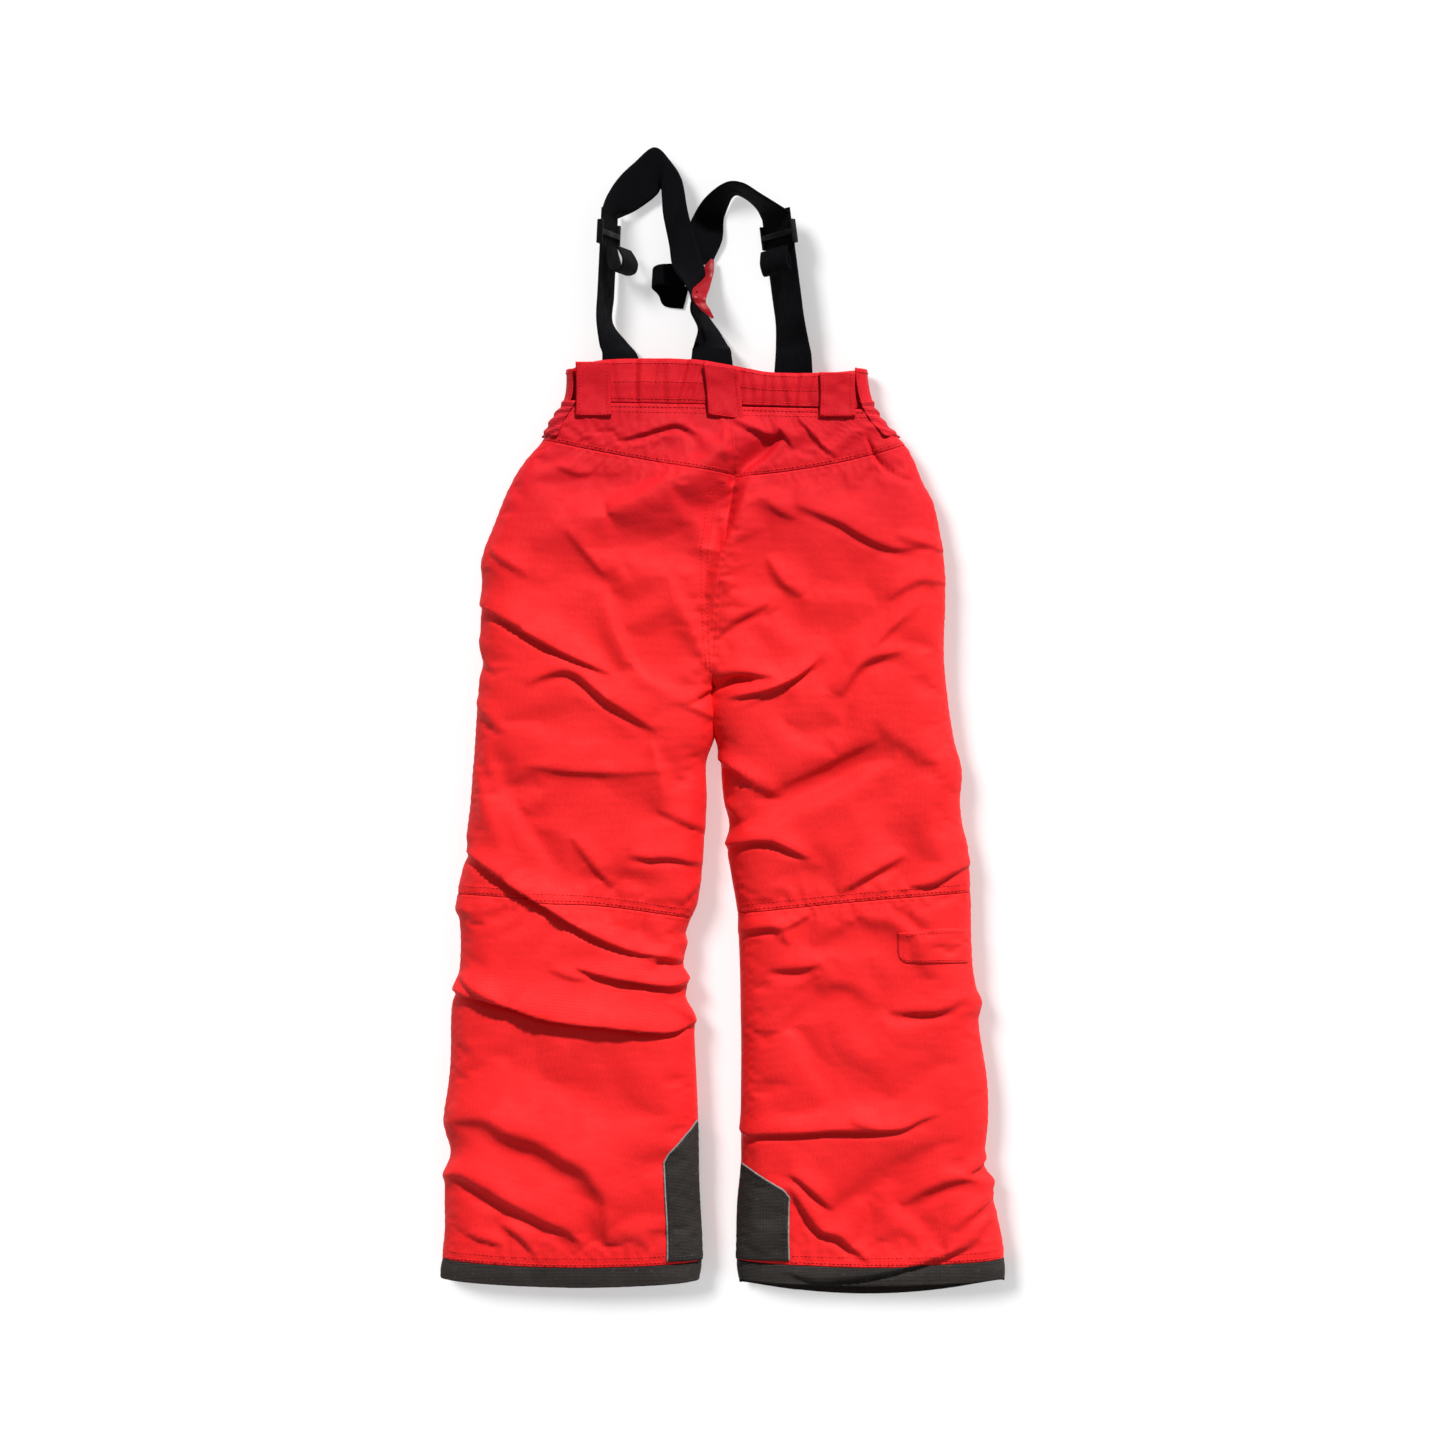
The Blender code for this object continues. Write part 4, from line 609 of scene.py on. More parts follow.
def hard(name, colour, second, roughness, metallic=0.0, scale=240.0):
    """Moulded plastic or metal with fine pits, scuffs and uneven gloss."""
    made, tree, shader = new_look(name)
    where = put(tree, "ShaderNodeTexCoord").outputs["Object"]
    pits = put(tree, "ShaderNodeTexNoise", {"Vector": where, "Scale": scale, "Detail": 4.0}).outputs["Fac"]
    scuffs = put(tree, "ShaderNodeTexNoise", {"Vector": where, "Scale": 45.0, "Detail": 6.0}).outputs["Fac"]
    tree.links.new(mixed(tree, ranged(tree, scuffs, 0.45, 0.7), colour, second), shader.inputs["Base Color"])
    tree.links.new(ranged(tree, scuffs, 0.35, 0.7, roughness - 0.08, roughness + 0.18), shader.inputs["Roughness"])
    shader.inputs["Specular IOR Level"].default_value = 0.5 if metallic else 0.15
    bump = put(tree, "ShaderNodeBump", {"Height": pits, "Strength": 0.25, "Distance": 0.0003})
    tree.links.new(bump.outputs["Normal"], shader.inputs["Normal"])
    shader.inputs["Metallic"].default_value = metallic
    return made


SHELL_RED = (0.81, 0.0150, 0.0165)
# painted shade: a darker copy of the shell red, for the waist
SHADED_WAIST_RED = (0.575, 0.0055, 0.0145)
LOOKS = {
    # the shell's red darkens towards the waist as painted shade
    "red_shell": fabric("red_shell", SHELL_RED, (0.85, 0.0185, 0.0200), 0.56, 0.0011, crinkle=0.22, waist=SHADED_WAIST_RED),
    # the waistband, belt loops and tabs take a darker copy of the shell's red, painted shade
    "shaded_waist_shell": fabric("shaded_waist_shell", SHADED_WAIST_RED, (0.60, 0.0065, 0.0140), 0.56, 0.0011, crinkle=0.25),
    "guard_cloth": fabric("guard_cloth", (0.026, 0.022, 0.020), (0.034, 0.029, 0.026), 0.66, 0.0014, 0.6, 0.4,
                          worn=(0.060, 0.056, 0.052)),
    "lining": fabric("lining", (0.030, 0.030, 0.034), (0.038, 0.038, 0.043), 0.46, 0.0008),
    "gaiter_cloth": fabric("gaiter_cloth", (0.018, 0.018, 0.021), (0.026, 0.026, 0.029), 0.52, 0.0009),
    "side_elastic": fabric("side_elastic", (0.52, 0.0075, 0.0165), (0.58, 0.0100, 0.0200), 0.62, 0.0016, 0.6),
    "zip_tape": fabric("zip_tape", (0.018, 0.018, 0.020), (0.028, 0.028, 0.030), 0.72, 0.0010, 0.6),
    "webbing": fabric("webbing", (0.0026, 0.0025, 0.0038), (0.0044, 0.0042, 0.0062), 0.70, 0.0021, 0.8, 0.2,
                      ribs=0.0009, shine=0.06),
    "junction_satin": fabric("junction_satin", (0.25, 0.006, 0.011), (0.40, 0.010, 0.018), 0.30, 0.0007, 0.2,
                             0.9, sheen=0.05, shine=0.16),
    "red_thread": fabric("red_thread", (0.66, 0.0130, 0.0180), (0.76, 0.0180, 0.0220), 0.48, 0.0005),
    "dark_thread": fabric("dark_thread", (0.030, 0.028, 0.028), (0.060, 0.056, 0.054), 0.52, 0.0005),
    "grey_piping": fabric("grey_piping", (0.20, 0.19, 0.18), (0.30, 0.29, 0.28), 0.50, 0.0008),
    "adjuster_plastic": hard("adjuster_plastic", (0.003, 0.003, 0.0035), (0.006, 0.006, 0.0065), 0.42),
    "zip_metal": hard("zip_metal", (0.20, 0.20, 0.21), (0.11, 0.11, 0.12), 0.34, 0.9),
}


def finish_piece(obj, look, *nodes):
    """Hides the CAD nodes that a piece stands for; look is not used."""
    if nodes:
        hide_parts(*nodes)
    return obj


# ---------------------------------------------------------------- stitching


def stitches(name, paths, look, body=None, pitch=0.0042, length=0.0030, radius=0.00042):
    """Rows of stitches, each a small rounded stroke of thread lying along its path."""
    rings = np.array([(-1.0, 0.25), (-0.62, 1.0), (0.62, 1.0), (1.0, 0.25)])
    turns = 2 * pi * np.arange(5) / 5
    all_points, faces = [], []
    count = 0
    for path in paths:
        lengths = np.concatenate([[0.0], np.cumsum(np.linalg.norm(np.diff(path, axis=0), axis=1))])
        places = np.arange(pitch, lengths[-1] - pitch / 2, pitch)
        if not len(places):
            continue
        at = np.stack([np.interp(places, lengths, path[:, k]) for k in range(3)], -1)
        ahead = np.stack([np.interp(places + 0.001, lengths, path[:, k]) for k in range(3)], -1)
        along = ahead - at
        along /= np.linalg.norm(along, axis=1, keepdims=True) + 1e-12
        side = np.cross(along, (0.0, 0.0, 1.0))
        side /= np.linalg.norm(side, axis=1, keepdims=True) + 1e-9
        up = np.cross(side, along)
        for centre, a, s, u in zip(at, along, side, up):
            points = [
                centre + a * t * length / 2 + (s * cos(w) + u * sin(w) * 0.8) * radius * r
                for t, r in rings
                for w in turns
            ]
            all_points.extend(points)
            for ring in range(3):
                for k in range(5):
                    n = (k + 1) % 5
                    faces.append((count + 5 * ring + k, count + 5 * ring + n, count + 5 * ring + 5 + n,
                                  count + 5 * ring + 5 + k))
            faces.append(tuple(count + k for k in reversed(range(5))))
            faces.append(tuple(count + 15 + k for k in range(5)))
            count += 20
    obj = make_object(name, np.array(all_points), faces, LOOKS[look], np.array(all_points)[:, :2])
    finish_piece(obj, look)
    if body:
        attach(obj, body)
    return obj


def cross_path(side, layer, seam, offset, start=0.015, end=0.985, lift=0.0002):
    shares = np.linspace(start, end, 120)
    return surface(side, layer, shares, bowed(seam, shares) + offset, lift)


def surface_path(side, route, lift=0.0002, steps=60):
    """A path on the back surface through points (x, y)."""
    line = spline(route, np.linspace(0, 1, steps))
    return surface(side, "back", share_of(side, line[:, 0], line[:, 1]), line[:, 1], lift)


def bend_at_knee(obj):
    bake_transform(obj)


# ---------------------------------------------------------------- settling the cloth


def settle(side):
    """Lets the back of one side of the trousers wrinkle a little, held near its folds by its pins."""
    shares = shares_across(0.235, 0.045, 8, 0.0048)
    ys = np.linspace(0.3120, -0.5400, 190)
    share, y = np.meshgrid(shares, ys)
    start = surface(side, "back", share, y)
    rows, columns = share.shape
    obj = make_object(f"settling_{side}", start, grid_faces(rows, columns), LOOKS["red_shell"])
    pins = obj.vertex_groups.new(name="pins")
    edge = np.minimum(share, 1 - share)
    seam = np.full(share.shape, 1.0)
    for line in (YOKE_SEAM[side], KNEE_SEAM[side]):
        seam = np.minimum(seam, smooth(0.0, 0.020, np.abs(y - bowed(line, share))))
    ends = smooth(0.0, 0.03, np.minimum(ys[0] - y, y - ys[-1]))
    loose = smooth(0.0, 0.06, edge) * (0.35 + 0.65 * seam) * ends
    hold = 1.0 - 0.93 * loose
    for index, weight in enumerate(hold.ravel()):
        pins.add([index], float(weight), "REPLACE")
    modifier = obj.modifiers.new("settle", "CLOTH")
    settings = modifier.settings
    settings.quality = 5
    settings.mass = 0.15
    settings.tension_stiffness = 12.0
    settings.compression_stiffness = 12.0
    settings.shear_stiffness = 4.0
    settings.bending_stiffness = 1.5
    settings.shrink_min = -0.02
    settings.shrink_max = -0.02
    settings.vertex_group_mass = "pins"
    settings.pin_stiffness = 0.6
    settings.effector_weights.gravity = 0.0
    modifier.collision_settings.use_collision = False
    modifier.point_cache.frame_end = 30
    for step in range(1, 23):
        bpy.context.scene.frame_set(step)
    evaluated = obj.evaluated_get(bpy.context.evaluated_depsgraph_get())
    moved = np.empty(rows * columns * 3, np.float32)
    evaluated.data.vertices.foreach_get("co", moved)
    move = moved.reshape(rows, columns, 3) - start
    size = np.linalg.norm(move, axis=-1, keepdims=True)
    limit = 0.0030
    move *= limit * np.tanh(size / limit) / (size + 1e-9)
    bpy.context.scene.frame_set(1)
    bpy.data.objects.remove(obj, do_unlink=True)
    return shares, ys, move


for side in SIDES:
    SETTLED[side] = settle(side)

# ---------------------------------------------------------------- the shell


def panel(name, side, layer, upper, lower, look, step=0.0021, thickness=SHELL, bend=False, body=None, tuck=0.0):
    """A panel of one leg between two cross seams, dipping into them; tuck is how far it goes under the next."""
    length = abs(upper[1] - lower[1])
    shares = shares_across(0.235, 0.045, 16 if layer == "back" else 10, step)
    down = shares_down(length, step)
    share, r = np.meshgrid(shares, down)
    gap = 0.0002
    top, sewn = bowed(upper, share) - gap, bowed(lower, share) + gap
    y = top + (sewn - tuck - top) * r
    x = value_at(OUTSEAM[side], y) + share * 0.22 * INWARD[side]
    dip = seam_dip(np.abs(top - y), x) + seam_dip(np.abs(y - sewn), x + 0.013)
    dip = dip - 0.0016 * smooth(0.0, 0.0012, sewn - y)
    centre = smooth(CROTCH_Y - 0.004, CROTCH_Y + 0.004, y)
    dip = dip + centre * seam_dip((1 - share) * 0.22, y)
    points = surface(side, layer, share, y, dip)
    outward = (0, 0, 1) if layer == "back" else (0, 0, -1)
    flat = np.stack([x, y], -1)
    obj = finish_piece(cloth(name, points, LOOKS[look], outward, thickness, flat), look, name)
    declare(obj, points)
    if bend:
        bend_at_knee(obj)
    else:
        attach(obj, body)
    return obj


for side in SIDES:
    hem_back = shifted(HEM_BACK[side], HEM_BAND)
    hem_front = shifted(HEM_FRONT[side], HEM_BAND)
    leg = f"lower_leg_{side}"
    panel(f"back_yoke_{side}", side, "back", WAIST_SEAM[side], YOKE_SEAM[side], "red_shell", body="trousers")
    panel(f"back_panel_{side}", side, "back", YOKE_SEAM[side], KNEE_SEAM[side], "red_shell", bend=True)
    panel(f"lower_back_leg_{side}", side, "back", KNEE_SEAM[side], hem_back, "red_shell", bend=True)
    panel(f"front_panel_{side}", side, "front", WAIST_SEAM[side], KNEE_SEAM[side], "red_shell", 0.006, bend=True,
          tuck=0.003)
    panel(f"lower_front_leg_{side}", side, "front", KNEE_SEAM[side], hem_front, "red_shell", 0.006, bend=True,
          tuck=0.003)
    panel(f"hem_band_back_{side}", side, "back", hem_back, HEM_BACK[side], "guard_cloth", body=leg)
    panel(f"hem_band_front_{side}", side, "front", hem_front, HEM_FRONT[side], "guard_cloth", 0.004, body=leg)


def make_guard(side, layer):
    """Scuff guard over the inner ankle, with a piped edge."""
    hem = shifted(HEM_BACK[side] if layer == "back" else HEM_FRONT[side], HEM_BAND)
    across = np.linspace(0.0, 1.0, 22)
    down = np.linspace(0.0, 1.0, 50)
    u, v = np.meshgrid(across, down)
    outer_top, inner_top = GUARD_TOP[side]
    top = outer_top * u + inner_top * (1 - u)
    top = top - 0.004 * smooth(0.85, 1.0, u)
    y = top + (bowed(hem, 1.0) + 0.001 - top) * v
    x = value_at(INSEAM[side], y) - INWARD[side] * (0.0015 + GUARD_WIDTH[side] * u)
    share = share_of(side, x, y)
    edge = np.minimum(np.minimum(1 - u, 0.0 * u + 1) * GUARD_WIDTH[side], v * np.abs(top - bowed(hem, 1.0)))
    lift = 0.0009 + 0.0009 * quarter_round(edge / 0.0025)
    points = surface(side, layer, share, y, lift)
    outward = (0, 0, 1) if layer == "back" else (0, 0, -1)
    name = f"scuff_guard_{layer}_{side}"
    look = "guard_cloth"
    obj = cloth(name, points, LOOKS[look], outward, 0.0012, np.stack([x, y], -1))
    finish_piece(obj, look, name)
    declare(obj, points, body=f"lower_leg_{side}")
    if layer == "back":
        border = np.concatenate([points[0, ::1], points[1:, -1]])
        piping(f"guard_piping_{side}", border + (0, 0, 0.0002), 0.0009, "grey_piping", f"lower_leg_{side}")
        inset = np.concatenate([points[1, 2:-2], points[1:-2, -3]]) + (0, 0, 0.0003)
        foot = points[-3, 1:-2] + (0, 0, 0.0003)
        stitches(f"guard_stitching_{side}", [inset, foot], "dark_thread", f"lower_leg_{side}")


def piping(name, path, radius, look, body):
    """A round edge of piping along a path."""
    sides = 8
    lengths = np.concatenate([[0.0], np.cumsum(np.linalg.norm(np.diff(path, axis=0), axis=1))])
    places = np.linspace(0, lengths[-1], max(8, int(lengths[-1] / 0.0022)))
    at = np.stack([np.interp(places, lengths, path[:, k]) for k in range(3)], -1)
    along = np.gradient(at, axis=0)
    along /= np.linalg.norm(along, axis=1, keepdims=True)
    side = np.cross(along, (0, 0, 1.0))
    side /= np.linalg.norm(side, axis=1, keepdims=True) + 1e-9
    up = np.cross(side, along)
    turns = 2 * pi * np.arange(sides) / sides
    grown = radius * (1 + 0.12 * np.sin(places / 0.0011))[:, None, None]
    ring = at[:, None] + grown * (side[:, None] * np.cos(turns)[:, None] + up[:, None] * np.sin(turns)[:, None])
    faces = grid_faces(len(places), sides, ring=True, turned=True)
    faces.append(tuple(range(sides)))
    faces.append(tuple(reversed(range((len(places) - 1) * sides, len(places) * sides))))
    flat = np.stack(np.broadcast_arrays(turns * radius, places[:, None]), -1)
    obj = make_object(name, ring, faces, LOOKS[look], flat)
    finish_piece(obj, look)
    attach(obj, body)
    return obj


for side in SIDES:
    for layer in ("back", "front"):
        make_guard(side, layer)


def make_flap():
    """Pocket flap on the outer side of the right leg, with rounded lower corner and a stitched border."""
    left, right, top, bottom, corner = 0.1735, 0.2440, -0.2060, -0.2402, 0.012
    u, v = np.meshgrid(np.linspace(0, 1, 34), np.linspace(0, 1, 20))
    x = left + (right - left) * u
    upper = top - 0.004 * (1 - smooth(0.0, 0.9, u)) + 0.002 * np.sin(pi * u)
    lower = bottom + corner * (1 - quarter_round((x - left) / corner))
    y = upper + (lower - upper) * v
    edge = np.minimum(np.minimum(x - left, y - lower), 0.006)
    lift = 0.0006 + 0.0008 * quarter_round(edge / 0.003)
    share = share_of("right", x, y)
    points = surface("right", "back", share, y, lift)
    obj = cloth("leg_pocket_flap", points, LOOKS["red_shell"], (0, 0, 1), 0.0013, np.stack([x, y], -1))
    finish_piece(obj, "red_shell", "leg_pocket_flap")
    declare(obj, points, body="pocket_flap")
    inner = np.concatenate([points[2:-3, 3], points[-3, 3:-1]]) + (0, 0, 0.0002)
    stitches("flap_stitching", [inner, points[2, 3:-1] + (0, 0, 0.0002)], "red_thread", "pocket_flap")


make_flap()

# ---------------------------------------------------------------- stitching of the shell

for side in SIDES:
    over = [
        cross_path(side, "back", YOKE_SEAM[side], 0.0034),
        cross_path(side, "back", WAIST_SEAM[side], -0.0034),
        cross_path(side, "back", WAIST_SEAM[side], -0.0085),
    ]
    stitches(f"yoke_stitching_{side}", over, "red_thread", "trousers")
    knee = [cross_path(side, "back", KNEE_SEAM[side], d) for d in (0.0034, 0.0085)]
    bend_at_knee(stitches(f"knee_stitching_{side}", knee, "red_thread"))
    hem = [cross_path(side, "back", shifted(HEM_BACK[side], HEM_BAND), d) for d in (0.0034, 0.0095)]
    stitches(f"hem_stitching_{side}", hem, "red_thread", f"lower_leg_{side}")
band = [
    surface_path("left", [(-0.005, 0.243), (-0.014, 0.218), (-0.020, 0.180), (-0.021, 0.148), (-0.019, 0.090),
                          (-0.016, 0.049)]),
    surface_path("left", [(0.003, 0.243), (-0.006, 0.218), (-0.013, 0.180), (-0.015, 0.148), (-0.014, 0.090),
                          (-0.012, 0.049)]),
]
stitches("centre_back_stitching", band, "red_thread", "trousers")


# ---------------------------------------------------------------- the waist


def make_waistband():
    """The gathered back band."""
    outer, other = float(value_at(OUTSEAM["left"], 0.34)), float(value_at(OUTSEAM["right"], 0.34))
    share, v = np.meshgrid(shares_across(other - outer, 0.020, 10, 0.0016), np.linspace(0, 1, 30))
    x = outer + (other - outer) * share
    top = value_at(WAIST_TOP, x)
    bottom = bowed((WAIST_SEAM["left"][0], 0.3165, WAIST_SEAM["right"][0]), share) + 0.0002
    y = top + (bottom - top) * v
    level = quarter_round((x - outer) / 0.020) * quarter_round((other - x) / 0.020)
    rise = value_at(TOP_HEIGHT, y) - EDGE_HEIGHT + gathers(x, y) - 0.0004
    rise += seam_dip(np.abs(y - bottom), x) - 0.0012 * bump_at(top - y, 0.002)
    rise += 0.0006 * bump_at(y - 0.338, 0.006)
    points = np.stack([x, y, EDGE_HEIGHT + rise * level], -1)
    obj = cloth("waistband_back", points, LOOKS["shaded_waist_shell"], (0, 0, 1), SHELL, np.stack([x, y], -1))
    finish_piece(obj, "shaded_waist_shell", "waistband_back")
    declare(obj, points, body="trousers")
    rows = [points[k, 3:-3] + (0, 0, 0.0003) for k in (3, 15, 26)]
    stitches("waistband_stitching", rows, "red_thread", "trousers")


make_waistband()


def make_front_waistband(side):
    outer, inner = float(value_at(OUTSEAM[side], 0.34)), -INWARD[side] * 0.0012
    share, v = np.meshgrid(np.linspace(0, 1, 60), np.linspace(0, 1, 12))
    x = outer + (inner - outer) * share
    level = quarter_round(np.abs(x - outer) / 0.020)
    bottom = bowed(WAIST_SEAM[side], share) + 0.0002
    y = 0.3430 + (bottom - 0.3430) * v
    z = EDGE_HEIGHT * (1 - level) + (WAIST_RELIEF + 0.0006 * noise(x, 0.2 * y, 0.009, 8)) * level
    points = np.stack([x, y, z], -1)
    name = f"waistband_front_{side}"
    obj = cloth(name, points, LOOKS["shaded_waist_shell"], (0, 0, -1), SHELL, np.stack([x, y], -1))
    finish_piece(obj, "shaded_waist_shell", name)
    declare(obj, points, body="trousers")
    rows = [points[k, 2:-2] - (0, 0, 0.0003) for k in (1, -2)]
    stitches(f"front_waistband_stitching_{side}", rows, "red_thread", "trousers")


for side in SIDES:
    make_front_waistband(side)


def back_height(x, y):
    rounding = value_at(EDGE_ROUND, y)
    left = quarter_round((x - value_at(OUTSEAM["left"], y)) / rounding)
    right = quarter_round((value_at(OUTSEAM["right"], y) - x) / rounding)
    return float(EDGE_HEIGHT + (value_at(TOP_HEIGHT, y) - EDGE_HEIGHT) * left * right)


def make_belt_loop(name, x, slant, start_y, foot_y, ground, stand_off, up):
    """A belt loop with folded edges, sewn down at both ends."""
    near, far, ease = ground + up * 0.0010, ground + up * (stand_off + 0.0008), 0.0040
    profile = [
        (start_y, near), (start_y - 0.3 * ease, near + 0.75 * (far - near)), (start_y - ease, far),
        ((start_y + foot_y) / 2, far - up * 0.0012),
        (foot_y + ease, far), (foot_y + 0.3 * ease, near + 0.75 * (far - near)), (foot_y, near),
    ]
    line = spline(profile, np.linspace(0, 1, 36))
    across = np.linspace(-0.5, 0.5, 19)
    u, row = np.meshgrid(across, np.arange(len(line)))
    y, z = line[row, 0], line[row, 1]
    lean = slant * (start_y - y) / (start_y - foot_y)
    tilt = -0.010 * abs(slant) / 0.010 * (u + 0.5) if slant else 0.0
    wide = 0.036 * (1 - 0.05 * np.sin(pi * (start_y - y) / (start_y - foot_y)))
    folded = up * (0.0006 * bump_at(np.abs(u) - 0.44, 0.05) - 0.0005 * bump_at(np.abs(u) - 0.37, 0.025))
    crease = up * 0.0006 * noise(u * 0.03 + x, y, 0.008, 21)
    points = np.stack([x + lean + wide * u, y + tilt, z + folded + crease], -1)
    obj = cloth(name, points, LOOKS["shaded_waist_shell"], (0, 0, up), 0.0014, np.stack([0.036 * u + x, y], -1))
    finish_piece(obj, "shaded_waist_shell", name)
    declare(obj, points, body="trousers")
    off = np.array((0, 0, up * 0.0003))
    rows = [points[:, 2] + off, points[:, -3] + off, points[7, 1:-1] + off, points[-8, 1:-1] + off]
    stitches(f"{name}_stitching", rows, "red_thread", "trousers", pitch=0.0036)


BACK_LOOPS = {
    "belt_loop_back_left": (-0.128, 0.000, 0.305),
    "belt_loop_back_centre": (-0.001, 0.005, 0.306),
    "belt_loop_back_right": (0.115, 0.000, 0.304),
}
for name, (x, slant, foot_y) in BACK_LOOPS.items():
    top_y = float(value_at(WAIST_TOP, x)) - 0.0005
    ground = max(back_height(x, y) for y in (top_y, 0.33, foot_y))
    make_belt_loop(name, x, slant, top_y, foot_y, ground, 0.0026, 1)
for name, x in {"belt_loop_front_left": -0.085, "belt_loop_front_right": 0.078}.items():
    make_belt_loop(name, x, 0.0, 0.3425, 0.3040, WAIST_RELIEF, 0.0046, -1)


def side_point(side, y, angle, stand_off):
    """Points just outside the rounded side of the waist: angle 90 is the top, 0 the side, -90 the front."""
    rounding, outer = value_at(EDGE_ROUND, y), value_at(OUTSEAM[side], y)
    height = np.where(angle > 0, value_at(TOP_HEIGHT, y) - EDGE_HEIGHT, EDGE_HEIGHT - WAIST_RELIEF)
    x = outer + INWARD[side] * (rounding * (1 - np.cos(angle)) - stand_off * np.cos(angle))
    return np.stack([x, y, EDGE_HEIGHT + (height + stand_off) * np.sin(angle)], -1)


def make_side_pieces(side):
    """A waist tab round the side, and the gathered elastic just below it."""
    outward = (-1, 0, 0.3) if side == "left" else (1, 0, 0.3)
    u, v = np.meshgrid(np.linspace(0, 1, 34), np.linspace(0, 1, 20))
    end = 0.004 * smooth(0.90, 1.0, u) * (2 * v - 1)
    y = 0.3530 - 0.036 * v - end
    border = 0.0005 * bump_at(np.abs(v - 0.5) - 0.42, 0.06)
    first = {"left": 46, "right": 62}[side]
    points = side_point(side, y, np.radians(first - (first + 56) * u), 0.0030 + border)
    name = f"side_tab_{side}"
    obj = cloth(name, points, LOOKS["shaded_waist_shell"], outward, 0.0014, np.stack([0.04 * u, y], -1))
    finish_piece(obj, "shaded_waist_shell", name)
    declare(obj, points, body=name)
    away = np.array((-INWARD[side] * 0.0003, 0, 0.0002))
    rows = [points[2, 1:-1] + away, points[-3, 1:-1] + away, points[2:-2, 2] + away]
    stitches(f"{name}_stitching", rows, "red_thread", name, pitch=0.0036)
    y = 0.3210 - 0.035 * v
    ruffle = 0.0011 * np.sin(2 * pi * v * 4 + 3 * noise(u * 0.03, v * 0.03, 0.012, 31))
    points = side_point(side, y, np.radians(64 - 84 * u), 0.0034 + ruffle)
    name = f"side_elastic_{side}"
    obj = cloth(name, points, LOOKS["side_elastic"], outward, 0.0014, np.stack([0.04 * u, y], -1))
    finish_piece(obj, "side_elastic", name)
    declare(obj, points, body="trousers")


for side in SIDES:
    make_side_pieces(side)


# ---------------------------------------------------------------- linings


def make_seat_lining(layer):
    x_share, v = np.meshgrid(np.linspace(0, 1, 70), np.linspace(0, 1, 40))
    y = 0.3080 - 0.1730 * v
    left, right = value_at(OUTSEAM["left"], y) + 0.017, value_at(OUTSEAM["right"], y) - 0.017
    x = left + (right - left) * x_share
    level = quarter_round((np.minimum(x - left, right - x) + 0.012) / value_at(EDGE_ROUND, y))
    ripple = 0.0008 * noise(x, 0.4 * y, 0.014, 41)
    if layer == "back":
        height = value_at(TOP_HEIGHT, y) - SHELL - 0.0125 + ripple
        z = EDGE_HEIGHT + 0.001 + (height - EDGE_HEIGHT) * level
    else:
        z = (EDGE_HEIGHT - 0.001) * (1 - level) + (WAIST_RELIEF + SHELL + 0.0018 + ripple) * level
    points = np.stack([x, y, z], -1)
    name = f"seat_lining_{layer}"
    obj = cloth(name, points, LOOKS["lining"], (0, 0, 1 if layer == "back" else -1), 0.0008, np.stack([x, y], -1))
    finish_piece(obj, "lining", name)
    declare(obj, points, body="trousers")


for layer in ("back", "front"):
    make_seat_lining(layer)


def make_sleeve(name, side, look, start_y, end_y, inset_x, inset_z, narrowing, waves):
    """A flattened tube inside the leg, ruffled along its length."""
    around, rows = 96, 46
    turn, v = np.meshgrid(2 * pi * np.arange(around) / around, np.linspace(0, 1, rows))
    y = start_y + (end_y - start_y) * v
    inset = inset_x + narrowing * smooth(0.2, 1.0, v)
    outer = value_at(OUTSEAM[side], y) + INWARD[side] * inset
    inner = value_at(INSEAM[side], y) - INWARD[side] * inset
    middle, half = (outer + inner) / 2, (inner - outer) / 2
    across, up = -np.cos(turn), np.sin(turn)
    ruffle = waves * smooth(0.3, 1.0, v) * np.sin(22 * turn + 3 * noise(turn * 0.01, y, 0.02, 51))
    x = middle + half * np.sign(across) * np.abs(across) ** 0.62 * (1 - ruffle * 4)
    rise = np.sign(up) * np.abs(up) ** 0.62
    reach = np.where(rise >= 0, value_at(TOP_HEIGHT, y) - inset_z - EDGE_HEIGHT, EDGE_HEIGHT - inset_z)
    points = np.stack([x, y, EDGE_HEIGHT + (reach - np.abs(ruffle)) * rise], -1)
    obj = make_object(name, points, grid_faces(rows, around, ring=True, turned=side == "left"), LOOKS[look],
                      np.stack([turn * 0.06, y], -1))
    add_thickness(obj, 0.0008)
    finish_piece(obj, look, name)
    declare(obj, np.concatenate([points, points[:, :1]], 1), body=f"lower_leg_{side}")


for side in SIDES:
    make_sleeve(f"leg_lining_{side}", side, "lining", -0.2000, -0.5280, 0.018, 0.0078, 0.0, 0.0006)
    make_sleeve(f"snow_gaiter_{side}", side, "gaiter_cloth", -0.4000, -0.5200, 0.028, 0.0105, 0.026, 0.0014)


# ---------------------------------------------------------------- webbing


